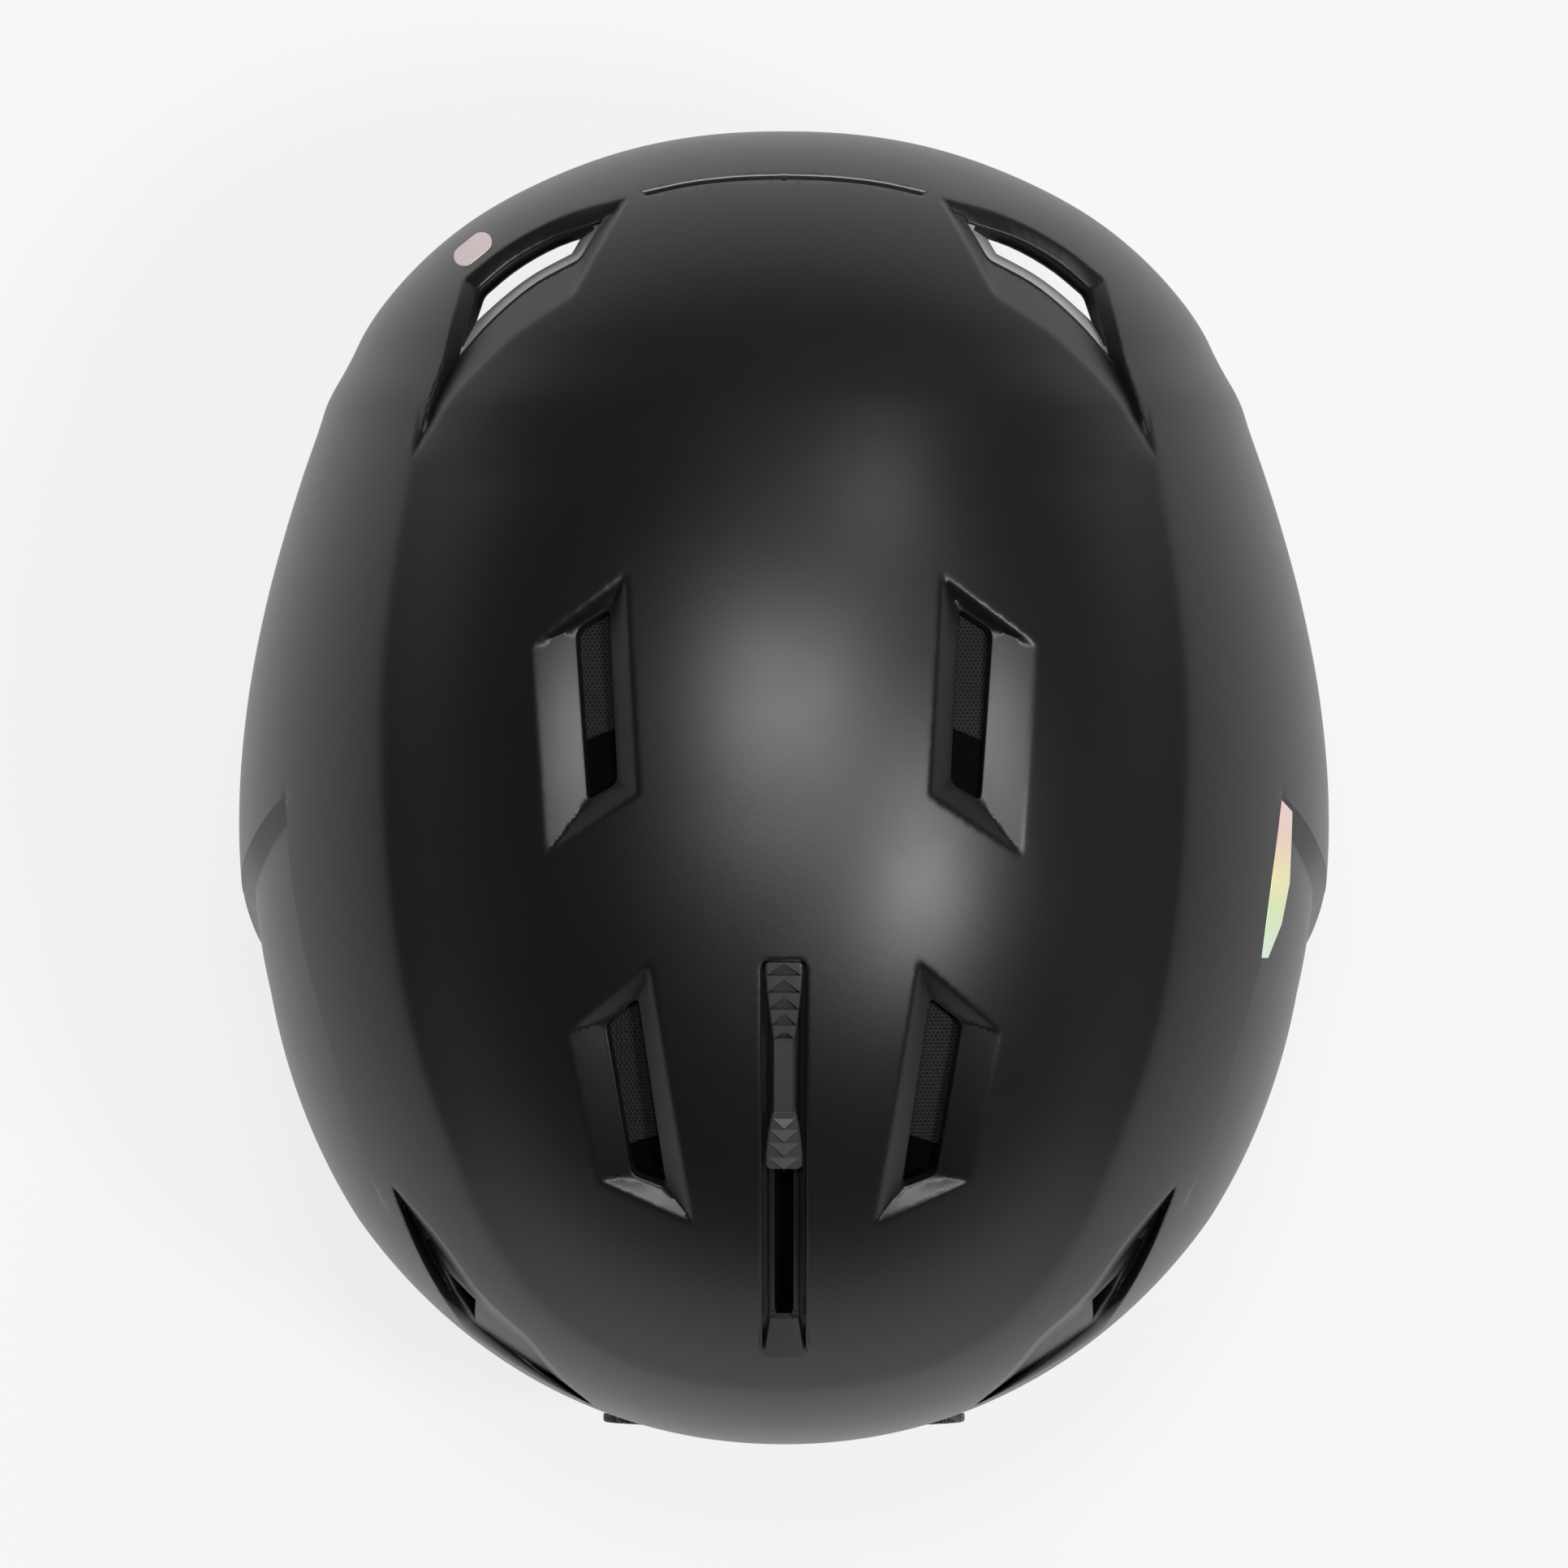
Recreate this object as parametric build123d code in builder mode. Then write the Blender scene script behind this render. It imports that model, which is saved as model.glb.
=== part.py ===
from build123d import *
import math
import os

# Ski helmet, standing on its ear pads on a table. Millimetres.
# Origin: centre of the bounding box at table level. +Z is up and the front faces -Y.
# Left (-X) and right (+X) are as seen by someone facing the helmet's front.
# Every skin of the helmet is the same rounded body, drawn in by an inset.

os.makedirs("parts", exist_ok=True)

# ---------------------------------------------------------------- driving dimensions
half_width = 116
front_length = 148
rear_length = 132
skin_centre_y = 8
skin_centre_z = 105
crown_height = 115
chin_depth = 140
front_power = 2.25
rear_power = 2.05
side_power = 2.2

shell_wall = 2.6
foam_gap = 0.4
foam_inner = 24
trim_depth = 10
rim_gap = 3

fan_axis = (0, 0, 45)
fan_angles = range(-78, 103, 12)
ray_limit = 74
rays_per_side = 6

shutter_axis = (0, 4, 54)
shutter_travel = 13.8
plate_profile = ((0, 160.6), (20, 159.4), (30, 157.6), (40, 155.0), (52, 150.5))
plate_wall = 1.1
plate_start = -32
plate_end = 28.5
mesh_wall = 0.5
pocket_depth = 3.6
pocket_margin = 2

track_half = 5.1
track_floor = (161.6, 162.6)
rail_top = 163.1
knob_low = 163.4
knob_top = 167.4

band_centre_y = 10
band_radius = 84
band_half_wall = 0.7
dial_height = 54
pinion_radius = 5
pinion_teeth = 10

strap_wall = 1.6
strap_width = 20
strap_y = -25
strap_x = 96.8
lying_strap = 1.2
front_strap = ((-28, 44), (-44, 100))
rear_strap = ((-21, 44), (51, 74))
divider_centre = (strap_y, 38)
divider_size = (34, 13)

ear_inner = 78
ear_outer = 94
ear_top = 76
ear_front = ((-34, 76), (-30, 50), (-10, 30), (-3, 8), (5, 0))
ear_rear = ((38, 0), (48, 10), (56, 40), (50, 58), (28, 76))
ear_pocket = (10, 44)
ear_pocket_depth = 9
clip_x = 92.6
clip_ys = (-22, 10)
clip_top = 93

buckle_half_length = 26.4

keeper_radius = 200
keeper_out = 138.4
keeper_wall = 2.2
keeper_half = 37.8
keeper_pin = (134.4, 40.5)
keeper_high = 63
keeper_hem = 2.6
snap_height = 55
stud_base = 134.5


# ---------------------------------------------------------------- shared geometry
def skin_value(x, y, z, inset):
    """Below 1 inside the helmet's rounded body drawn in by inset, and above 1 outside it."""
    length = front_length if y < skin_centre_y else rear_length
    power = front_power if y < skin_centre_y else rear_power
    height = crown_height if z > skin_centre_z else chin_depth
    plan = abs(x / (half_width - inset)) ** power + abs((y - skin_centre_y) / (length - inset)) ** power
    return plan ** (side_power / power) + abs((z - skin_centre_z) / (height - inset)) ** side_power


def ray_length(direction, inset):
    """Distance from the fan axis to the skin along a direction, by halving."""
    low, high = 20.0, 260.0
    for _ in range(40):
        middle = (low + high) / 2
        point = [fan_axis[i] + direction[i] * middle for i in range(3)]
        if skin_value(*point, inset) < 1:
            low = middle
        else:
            high = middle
    return (low + high) / 2


def fan_plane(angle, axis_point=fan_axis):
    """Plane through an axis along X. Its own Y is the direction at that angle from vertical, towards the rear."""
    tilt = math.radians(angle)
    return Plane(origin=axis_point, x_dir=(1, 0, 0), z_dir=(0, -math.cos(tilt), math.sin(tilt)))


def arch_points(angle, inset):
    """The skin's outline in one fan plane, from the -X side over the top to the +X side."""
    tilt = math.radians(angle)
    points = []
    for step in range(-rays_per_side, rays_per_side + 1):
        lean = math.radians(ray_limit * step / rays_per_side)
        direction = (math.sin(lean), math.cos(lean) * math.sin(tilt), math.cos(lean) * math.cos(tilt))
        reach = ray_length(direction, inset)
        points.append((reach * math.sin(lean), reach * math.cos(lean)))
    return points


def mirrored(points):
    return [(-x, y) for x, y in points]


def arch_face(angle, outer, inner):
    """One closed arch of the helmet between two insets, in a fan plane."""
    with BuildSketch(fan_plane(angle)) as arch:
        with BuildLine():
            outside = Spline(*arch_points(angle, outer))
            inside = Spline(*arch_points(angle, inner))
            Line(outside @ 0, inside @ 0)
            Line(outside @ 1, inside @ 1)
        make_face()
    return arch.sketch.face()


def skin_layer(outer, inner, angles=fan_angles):
    """Loft sections of a layer of the helmet between two insets."""
    return [arch_face(angle, outer, inner) for angle in angles]


def rim_outline(lift, above=False):
    """Side outline of everything below the helmet's lower rim, or above it, with the rim raised by lift."""
    far = 260 if above else -60
    rim = [(-150, 92), (-100, 87), (-60, 82), (-35, 82), (0, 86), (24, 80), (42, 64), (58, 51.5), (80, 47), (150, 46)]
    with BuildSketch(Plane.YZ) as below:
        with BuildLine():
            edge = Spline(*[(y, z + lift) for y, z in rim])
            Polyline(edge @ 1, (150, far), (-150, far), edge @ 0)
        make_face()
    return below.sketch


def ring_face(inner, outer, low, start, end, centre=band_centre_y):
    """Level ring segment about a vertical axis; angles run from the rear (+Y) towards +X."""
    a, b = math.radians(start), math.radians(end)
    middle = (a + b) / 2
    with BuildSketch(Plane.XY.offset(low)) as block:
        with BuildLine():
            spots = []
            for radius in (outer, inner):
                for angle in (a, middle, b):
                    spots.append((radius * math.sin(angle), centre + radius * math.cos(angle)))
            ThreePointArc(spots[0], spots[1], spots[2])
            Line(spots[2], spots[5])
            ThreePointArc(spots[5], spots[4], spots[3])
            Line(spots[3], spots[0])
        make_face()
    return block.sketch


def strap_face(ends, width, side):
    """Flat webbing between two points, seen from the side."""
    with BuildSketch(Plane.YZ.offset(side * strap_x)) as run:
        with BuildLine():
            Line(*ends)
        trace(line_width=width)
    return run.sketch


def beyond(ends, start, end):
    """Two points further along a strap, measured past its upper end."""
    (y0, z0), (y1, z1) = ends
    length = math.hypot(y1 - y0, z1 - z0)
    along = ((y1 - y0) / length, (z1 - z0) / length)
    return [(y1 + along[0] * d, z1 + along[1] * d) for d in (start, end)]


def plate_face(angle, outer_lift, inner_lift):
    """Cross-section of the shutter's curved plate, or of a layer above or below it, in a plane through its axis."""
    half = [(x, r + outer_lift) for x, r in plate_profile]
    under = [(x, r + inner_lift) for x, r in plate_profile]
    with BuildSketch(fan_plane(angle, shutter_axis)) as section:
        with BuildLine():
            top = Spline(*mirrored(half)[:0:-1], *half)
            low = Spline(*mirrored(under)[:0:-1], *under)
            Line(top @ 0, low @ 0)
            Line(top @ 1, low @ 1)
        make_face()
    return section.sketch


def strip_face(angle, x_from, x_to, low, high):
    """Rectangle in a plane through the shutter's axis, between two sides and two radii."""
    with BuildSketch(fan_plane(angle, shutter_axis)) as strip:
        with Locations(((x_from + x_to) / 2, (low + high) / 2)):
            Rectangle(abs(x_to - x_from), high - low)
    return strip.sketch


def radial_plane(angle, radius):
    """Plane square to the shutter's radius on the centreline, facing outward."""
    tilt = math.radians(angle)
    outward = (0, math.sin(tilt), math.cos(tilt))
    centre = [shutter_axis[i] + outward[i] * radius for i in range(3)]
    return Plane(origin=centre, x_dir=(1, 0, 0), z_dir=outward)


def save(builder, name):
    builder.part.label = name
    export_step(builder.part, f"parts/{name}.step")


# ---------------------------------------------------------------- vent and slot outlines, seen from above (+X side)
front_top_vent = ((36.2, -38.0), (43.9, -33.1), (41.3, 3.2), (34.3, -0.7))
rear_top_vent = ((30.0, 43.5), (37.7, 48.7), (32.3, 81.4), (24.2, 84.3))
front_vent = (
    (37.5, -119.1),
    (49.4, -115.0),
    (64.3, -104.6),
    (69.2, -89.2),
    (61.0, -97.6),
    (51.9, -105.1),
    (42.4, -110.3),
)
rear_vent = (
    (47.7, 124.0),
    (53.9, 116.3),
    (64.4, 106.4),
    (72.5, 95.2),
    (77.0, 97.1),
    (73.1, 106.4),
    (66.0, 116.0),
    (53.9, 124.3),
)
slot_half_width = 5.2
slot_front = 35.2
slot_rear = 118.2
front_window = ((32.4, -40.5), (44.6, -34.5), (43.4, -9.0), (32.6, -13.4))
rear_window = ((27.4, 41.5), (38.6, 47.0), (34.4, 75.0), (23.6, 71.5))
windows = (front_window, rear_window)
plate_outline = ((-52, -95), (52, -95), (52, 20), (43, 60), (43, 100), (-43, 100), (-43, 60), (-52, 20))
screw_angles = (15, 23)


def outlines_above(height, outlines, grow=0.0):
    """Closed outlines on both sides of the helmet, on a level plane, grown by an amount."""
    with BuildSketch(Plane.XY.offset(height)) as marks:
        for outline in outlines:
            for points in (outline, mirrored(outline)):
                with BuildLine():
                    Polyline(*points, close=True)
                make_face()
        if grow:
            offset(amount=grow, kind=Kind.INTERSECTION)
    return marks.sketch


# ---------------------------------------------------------------- outer shell
with BuildPart() as outer_shell:
    loft(skin_layer(0, shell_wall))
    extrude(rim_outline(0), amount=160, both=True, mode=Mode.SUBTRACT)
    extrude(outlines_above(165, (front_top_vent, rear_top_vent)), amount=70, mode=Mode.SUBTRACT)
    with BuildSketch(Plane.XY.offset(165)):
        with Locations((0, (slot_front + slot_rear) / 2)):
            RectangleRounded(2 * slot_half_width, slot_rear - slot_front, 0.8)
    extrude(amount=70, mode=Mode.SUBTRACT)
    extrude(outlines_above(96, (front_vent, rear_vent)), amount=110, mode=Mode.SUBTRACT)
save(outer_shell, "outer_shell")


# ---------------------------------------------------------------- foam liner and rim trim
pocket_arc = plate_end - plate_start + shutter_travel + 2 * pocket_margin
with BuildPart() as eps_liner:
    loft(skin_layer(shell_wall + foam_gap, foam_inner))
    extrude(rim_outline(rim_gap), amount=160, both=True, mode=Mode.SUBTRACT)
    # pocket of revolution that the vent shutter slides in
    pocket = plate_face(plate_start - pocket_margin, 9, -pocket_depth)
    revolve(pocket, axis=Axis(shutter_axis, (-1, 0, 0)), revolution_arc=pocket_arc, mode=Mode.SUBTRACT)
    # air channels: into the head cavity from the crown, straight down to the goggles from the brow
    extrude(outlines_above(120, (front_top_vent, rear_top_vent), 3), amount=110, mode=Mode.SUBTRACT)
    extrude(outlines_above(60, (front_vent,), 1.5), amount=150, mode=Mode.SUBTRACT)
    extrude(outlines_above(124, (rear_vent,), 1), amount=80, mode=Mode.SUBTRACT)
    # exhaust ducts from the cavity to the rear vents
    for side in (-1, 1):
        with BuildSketch(Plane(origin=(side * 66, 110, 132), x_dir=(0, 0, 1), z_dir=(-side * 0.5, -0.866, 0))):
            Circle(6)
        extrude(amount=50, mode=Mode.SUBTRACT)
    # room for the fit dial at the nape
    with BuildSketch(Plane.XZ.offset(-113)):
        with Locations((0, dial_height)):
            Circle(19)
    extrude(amount=30, mode=Mode.SUBTRACT)
    # slots that take the strap ends, their anchors and the ear pad clips
    for side in (-1, 1):
        for ends in (front_strap, rear_strap):
            extrude(strap_face(ends, strap_width + 3, side), amount=1.8, both=True, mode=Mode.SUBTRACT)
            extrude(strap_face(beyond(ends, -0.3, 3.6), 18, side), amount=2.8, both=True, mode=Mode.SUBTRACT)
        for y in clip_ys:
            with Locations((side * clip_x, y, clip_top - 9)):
                Box(2.2, 10, 20, mode=Mode.SUBTRACT)
save(eps_liner, "eps_liner")

with BuildPart() as rim_trim:
    loft(skin_layer(shell_wall + 0.1, trim_depth))
    extrude(rim_outline(0.4), amount=160, both=True, mode=Mode.SUBTRACT)
    extrude(rim_outline(rim_gap - 0.2, above=True), amount=160, both=True, mode=Mode.SUBTRACT)
    for side in (-1, 1):
        extrude(strap_face(rear_strap, strap_width + 3, side), amount=1.8, both=True, mode=Mode.SUBTRACT)
save(rim_trim, "rim_trim")

# ---------------------------------------------------------------- vent shutter and its slider
shutter_turn = Axis(shutter_axis, (-1, 0, 0))

with BuildPart() as shutter_plate:
    revolve(plate_face(plate_start, 0, -plate_wall), axis=shutter_turn, revolution_arc=plate_end - plate_start)
    with BuildSketch(Plane.XY.offset(120)):
        Polygon(*plate_outline, align=None)
    extrude(amount=120, mode=Mode.INTERSECT)
    extrude(outlines_above(120, windows), amount=110, mode=Mode.SUBTRACT)
    for angle in screw_angles:
        with BuildSketch(radial_plane(angle, 150)):
            Circle(1.2)
        extrude(amount=14, mode=Mode.SUBTRACT)
save(shutter_plate, "shutter_plate")

with BuildPart() as shutter_mesh:
    revolve(plate_face(-20, -plate_wall, -plate_wall - mesh_wall), axis=shutter_turn, revolution_arc=50)
    extrude(outlines_above(120, windows, 1.5), amount=110, mode=Mode.INTERSECT)
save(shutter_mesh, "shutter_mesh")

with BuildPart() as knob_screws:
    for angle in screw_angles:
        with BuildSketch(radial_plane(angle, plate_profile[0][1] - plate_wall - 1.4)):
            Circle(2.4)
        extrude(amount=1.3)
        with BuildSketch(radial_plane(angle, plate_profile[0][1] - plate_wall - 1.0)):
            Circle(0.9)
        extrude(amount=5.5)
save(knob_screws, "knob_screws")

with BuildPart() as slider_track:
    revolve(strip_face(10.9, -track_half - 4, track_half + 4, *track_floor), axis=shutter_turn, revolution_arc=32.4)
    for side in (-1, 1):
        revolve(strip_face(11.1, side * 4.5, side * track_half, 162, 168), axis=shutter_turn, revolution_arc=31.5)
    for side in (-1, 1):
        revolve(strip_face(11.4, side * 1.8, side * 3.4, 162, rail_top), axis=shutter_turn, revolution_arc=29)
    # ramp that closes the rear end
    revolve(strip_face(40.9, -4.2, 4.2, 162, 166.2), axis=shutter_turn, revolution_arc=2.3)
    # slit for the knob's stem
    revolve(strip_face(12, -1.8, 1.8, 160, 164), axis=shutter_turn, revolution_arc=28, mode=Mode.SUBTRACT)
    loft(skin_layer(0.5, 12), mode=Mode.INTERSECT)
save(slider_track, "slider_track")

with BuildPart() as slider_knob:
    revolve(strip_face(11.2, -3.9, 3.9, knob_low, knob_top), axis=shutter_turn, revolution_arc=5.6)
    revolve(strip_face(16.8, -2.3, 2.3, knob_low, knob_top - 1), axis=shutter_turn, revolution_arc=6.0)
    revolve(strip_face(22.6, -3.9, 3.9, knob_low, knob_top), axis=shutter_turn, revolution_arc=4.2)
    revolve(strip_face(13, -1.5, 1.5, plate_profile[0][1], knob_low + 0.5), axis=shutter_turn, revolution_arc=12)
    for angle in screw_angles:
        with BuildSketch(radial_plane(angle, 160)):
            Circle(0.95)
        extrude(amount=5, mode=Mode.SUBTRACT)
save(slider_knob, "slider_knob")

# ---------------------------------------------------------------- marks on the shell
with BuildPart() as front_mark:
    loft(skin_layer(-0.25, 0.0, range(-78, -17, 12)))
    with BuildSketch(Plane.XY.offset(100)):
        with Locations(Location((65.0, -112.7), -38)):
            RectangleRounded(8.5, 5.5, 1.6)
    extrude(amount=80, mode=Mode.INTERSECT)
save(front_mark, "front_mark")

with BuildPart() as side_inlay:
    loft(skin_layer(-0.3, -0.02, range(-30, 55, 12)))
    with BuildSketch(Plane.XY.offset(106)):
        with BuildLine():
            Polyline((-104.6, 2.4), (-107.2, 4.6), (-105.6, 28.0), (-101.2, 35.7), close=True)
        make_face()
    extrude(amount=60, mode=Mode.INTERSECT)
save(side_inlay, "side_inlay")


# ---------------------------------------------------------------- comfort liner
def side_box(low_y, high_y, low_z, high_z):
    """Rounded rectangle on the middle plane, seen from the side."""
    with BuildSketch(Plane.YZ) as window:
        with Locations(((low_y + high_y) / 2, (low_z + high_z) / 2)):
            RectangleRounded(high_y - low_y, high_z - low_z, 6)
    return window.sketch


pad_outer = foam_inner + 0.3
with BuildPart() as brow_pad:
    loft(skin_layer(pad_outer, 31, range(-78, -29, 12)))
    extrude(side_box(-130, -50, 94, 120), amount=66, both=True, mode=Mode.INTERSECT)
save(brow_pad, "brow_pad")

with BuildPart() as crown_pad:
    loft(skin_layer(pad_outer, 31, range(-54, 55, 12)))
    with BuildSketch(Plane.XY.offset(140)):
        with Locations((0, 8)):
            RectangleRounded(36, 120, 14)
    extrude(amount=70, mode=Mode.INTERSECT)
save(crown_pad, "crown_pad")

for side, name in ((-1, "side_pad_left"), (1, "side_pad_right")):
    with BuildPart() as side_pad:
        loft(skin_layer(pad_outer, 31, range(-42, 67, 12)))
        extrude(side_box(-45, 58, 96, 142), amount=side * 120, mode=Mode.INTERSECT)
    save(side_pad, name)

# ---------------------------------------------------------------- fit system round the nape
housing_angle = 27
shaft_radius = 2.5
dial_face = band_centre_y + 87.2
pinion_face = band_centre_y + 83.1
tooth_pitch = math.degrees(math.tau * pinion_radius / pinion_teeth / band_radius)


def dial_circle(y, radius):
    """Circle about the dial's axis on an upright plane at y, to be extruded by a negative amount towards the rear."""
    with BuildSketch(Plane.XZ.offset(-y)) as disc:
        with Locations((0, dial_height)):
            Circle(radius)
    return disc.sketch


with BuildPart() as dial_housing:
    extrude(ring_face(81.6, 86.6, dial_height - 12, -housing_angle, housing_angle), amount=24)
    extrude(ring_face(82.9, 85.1, dial_height - 9.8, -30, 30), amount=19.6, mode=Mode.SUBTRACT)
    extrude(dial_circle(band_centre_y + band_radius, shaft_radius + 0.06), amount=-4, mode=Mode.SUBTRACT)
save(dial_housing, "dial_housing")

# pinion, shaft, knob and screw turn together about an axis along Y
with BuildPart() as dial_pinion:
    with BuildSketch(Plane.XZ.offset(-pinion_face)):
        with Locations((0, dial_height)):
            Circle(pinion_radius - 0.9)
            with PolarLocations(pinion_radius - 0.5, pinion_teeth):
                Trapezoid(1.3, 1.5, 78, rotation=-90)
    extrude(amount=-1.6)
    extrude(dial_circle(pinion_face + 1.6, shaft_radius), amount=-2.5)
save(dial_pinion, "dial_pinion")

with BuildPart() as dial_knob:
    with BuildSketch(Plane.XZ.offset(-dial_face)):
        with Locations((0, dial_height)):
            Circle(14)
            with PolarLocations(14.6, 18):
                Circle(1.3, mode=Mode.SUBTRACT)
    extrude(amount=-8)
    extrude(dial_circle(dial_face + 5, 3.2), amount=-4, mode=Mode.SUBTRACT)
save(dial_knob, "dial_knob")

with BuildPart() as dial_screw:
    extrude(dial_circle(dial_face + 5, 3.0), amount=-1.6)
save(dial_screw, "dial_screw")

# each band has a toothed arm, the right one above the pinion and the left one below it
band_inner = band_radius - band_half_wall
band_outer = band_radius + band_half_wall
for side, name in ((-1, "band_left"), (1, "band_right")):
    arm_low = dial_height + min(side * 5.9, side * 8.6)
    tooth_low = dial_height + min(side * 4.7, side * 6.0)
    with BuildPart() as band:
        extrude(ring_face(band_inner, band_outer, dial_height - 8.6, 29 * side, 58 * side), amount=17.2)
        extrude(ring_face(82.5, 85.5, dial_height - 4, 36 * side, 54 * side), amount=8, mode=Mode.SUBTRACT)
        extrude(ring_face(band_inner, band_outer, arm_low, -9 * side, 29.5 * side), amount=2.7)
        for tooth in range(-4, 9):
            place = tooth * side * tooth_pitch
            tooth_face = ring_face(band_inner + 0.1, band_outer - 0.1, tooth_low, place - 0.42, place + 0.42)
            extrude(tooth_face, amount=1.3)
    save(band, name)

# yoke that hangs the housing from the foam
with BuildPart() as fit_cradle:
    for side in (-1, 1):
        with BuildSketch(Plane.YZ.offset(side * 22 - 5)):
            with BuildLine():
                Spline((93.6, dial_height + 12.9), (97, 78), (106.2, 92), (107.4, 104))
            trace(line_width=1.6)
        extrude(amount=10)
    extrude(ring_face(81.8, 86.4, dial_height + 12, -22, 22), amount=1.4)
save(fit_cradle, "fit_cradle")

with BuildPart() as nape_pad:
    extrude(ring_face(75.5, 81.3, dial_height - 9, -30, 30), amount=20)
save(nape_pad, "nape_pad")

# ---------------------------------------------------------------- ear pads, their clips and the straps
for side, name in ((-1, "ear_pad_left"), (1, "ear_pad_right")):
    with BuildPart() as ear_pad:
        with BuildSketch(Plane.YZ.offset(side * ear_inner)):
            with BuildLine():
                Polyline(*ear_front, *ear_rear, close=True)
            make_face()
        extrude(amount=side * (ear_outer - ear_inner))
        with BuildSketch(Plane.YZ.offset(side * ear_inner)):
            with Locations(ear_pocket):
                Ellipse(12, 17)
        extrude(amount=side * ear_pocket_depth, mode=Mode.SUBTRACT)
    save(ear_pad, name)

for side, name in ((-1, "ear_clip_left"), (1, "ear_clip_right")):
    with BuildPart() as ear_clip:
        with BuildSketch(Plane.XY.offset(ear_top)):
            for y in clip_ys:
                with Locations((side * clip_x, y)):
                    Rectangle(1.6, 9)
        extrude(amount=clip_top - ear_top)
    save(ear_clip, name)

for side, name in ((-1, "strap_left"), (1, "strap_right")):
    with BuildPart() as strap:
        extrude(strap_face(front_strap, strap_width, side), amount=strap_wall / 2, both=True)
        extrude(strap_face(rear_strap, strap_width, side), amount=strap_wall / 2, both=True)
        # the run that lies on the table
        with BuildSketch(Plane.XZ.offset(-strap_y)):
            with BuildLine():
                FilletPolyline(
                    (side * strap_x, 32),
                    (side * strap_x, 20),
                    (side * 86, lying_strap),
                    (side * buckle_half_length, lying_strap),
                    radius=7,
                )
            trace(line_width=strap_wall)
        extrude(amount=strap_width / 2, both=True)
        with Locations((side * strap_x, *divider_centre)):
            Box(6, divider_size[0], divider_size[1], mode=Mode.SUBTRACT)
    save(strap, name)

for side, name in ((-1, "strap_divider_left"), (1, "strap_divider_right")):
    with BuildPart() as divider:
        with BuildSketch(Plane.YZ.offset(side * strap_x)):
            with Locations(divider_centre):
                RectangleRounded(*divider_size, 3)
        extrude(amount=1.9, both=True)
        chamfer(divider.faces().sort_by(Axis.X)[0 if side < 0 else -1].edges(), 0.6)
    save(divider, name)

with BuildPart() as strap_anchors:
    for side in (-1, 1):
        for ends in (front_strap, rear_strap):
            extrude(strap_face(beyond(ends, 0, 3), 16, side), amount=2.5, both=True)
save(strap_anchors, "strap_anchors")

# ---------------------------------------------------------------- buckle on the table; its +X half slides off the other
buckle_low = 0.3
buckle_width = 23
plate_top = 3.2
block_top = 8.2
rail_x = 1.5
magnet_places = [(x, strap_y, plate_top - 0.7) for x in (-3, 6.5)]
with BuildPart() as buckle_base:
    with BuildSketch(Plane.XY.offset(buckle_low)):
        with Locations((-9, strap_y)):
            RectangleRounded(34.8, buckle_width, 4)
    extrude(amount=plate_top - buckle_low)
    with BuildSketch(Plane.XY.offset(plate_top)):
        with Locations((-16.2, strap_y)):
            RectangleRounded(20.4, buckle_width, 4)
    extrude(amount=block_top - plate_top)
    # rail that guides the other half sideways
    with BuildSketch(Plane.XY.offset(plate_top)):
        with Locations((rail_x, strap_y)):
            Rectangle(4, 20)
    extrude(amount=1.4)
    with Locations(*magnet_places):
        Cylinder(1.7, 1.4, mode=Mode.SUBTRACT)
    # pocket for the strap's end
    with Locations((-23.4, strap_y, lying_strap + 0.8)):
        Box(6.6, 20.8, 2.4, mode=Mode.SUBTRACT)
save(buckle_base, "buckle_base")

with BuildPart() as buckle_slider:
    with BuildSketch(Plane.XY.offset(plate_top + 0.3)):
        with Locations((10.4, strap_y)):
            RectangleRounded(31.2, buckle_width, 4)
    extrude(amount=block_top - plate_top - 0.3)
    with BuildSketch(Plane.XY.offset(buckle_low + 0.2)):
        with Locations((18.1, strap_y)):
            RectangleRounded(15.8, buckle_width, 3)
    extrude(amount=plate_top - buckle_low + 0.5)
    with Locations((rail_x, strap_y, plate_top + 0.95)):
        Box(4.8, 40, 1.9, mode=Mode.SUBTRACT)
save(buckle_slider, "buckle_slider")

with BuildPart() as buckle_magnets:
    with Locations(*magnet_places):
        Cylinder(1.6, 1.2)
save(buckle_magnets, "buckle_magnets")

with BuildPart() as buckle_tab:
    with BuildSketch(Plane.XY.offset(plate_top + 1)):
        with Locations((11, strap_y - buckle_width / 2 - 6)):
            RectangleRounded(15, 12, 3)
            RectangleRounded(9, 5, 1.5, mode=Mode.SUBTRACT)
    extrude(amount=1.8)
save(buckle_tab, "buckle_tab")

strap_keeper_x = 44
with BuildPart() as strap_keeper:
    with Locations((strap_keeper_x, strap_y, lying_strap + 0.4)):
        Box(7, strap_width + 3, strap_wall + 1.6)
    with Locations((strap_keeper_x, strap_y, lying_strap)):
        Box(9, strap_width + 0.2, strap_wall + 0.1, mode=Mode.SUBTRACT)
save(strap_keeper, "strap_keeper")

with BuildPart() as chin_pad:
    with BuildSketch(Plane.XY.offset(lying_strap + strap_wall / 2)):
        with Locations((-52, strap_y)):
            RectangleRounded(38, 24, 6)
    extrude(amount=6)
save(chin_pad, "chin_pad")

# ---------------------------------------------------------------- goggle strap keeper at the rear
def keeper_face(inner, outer, low, half):
    """Level ring segment about the keeper's own centre of curvature."""
    angle = math.degrees(math.asin(half / keeper_radius))
    return ring_face(inner, outer, low, -angle, angle, keeper_out - keeper_radius)


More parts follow.
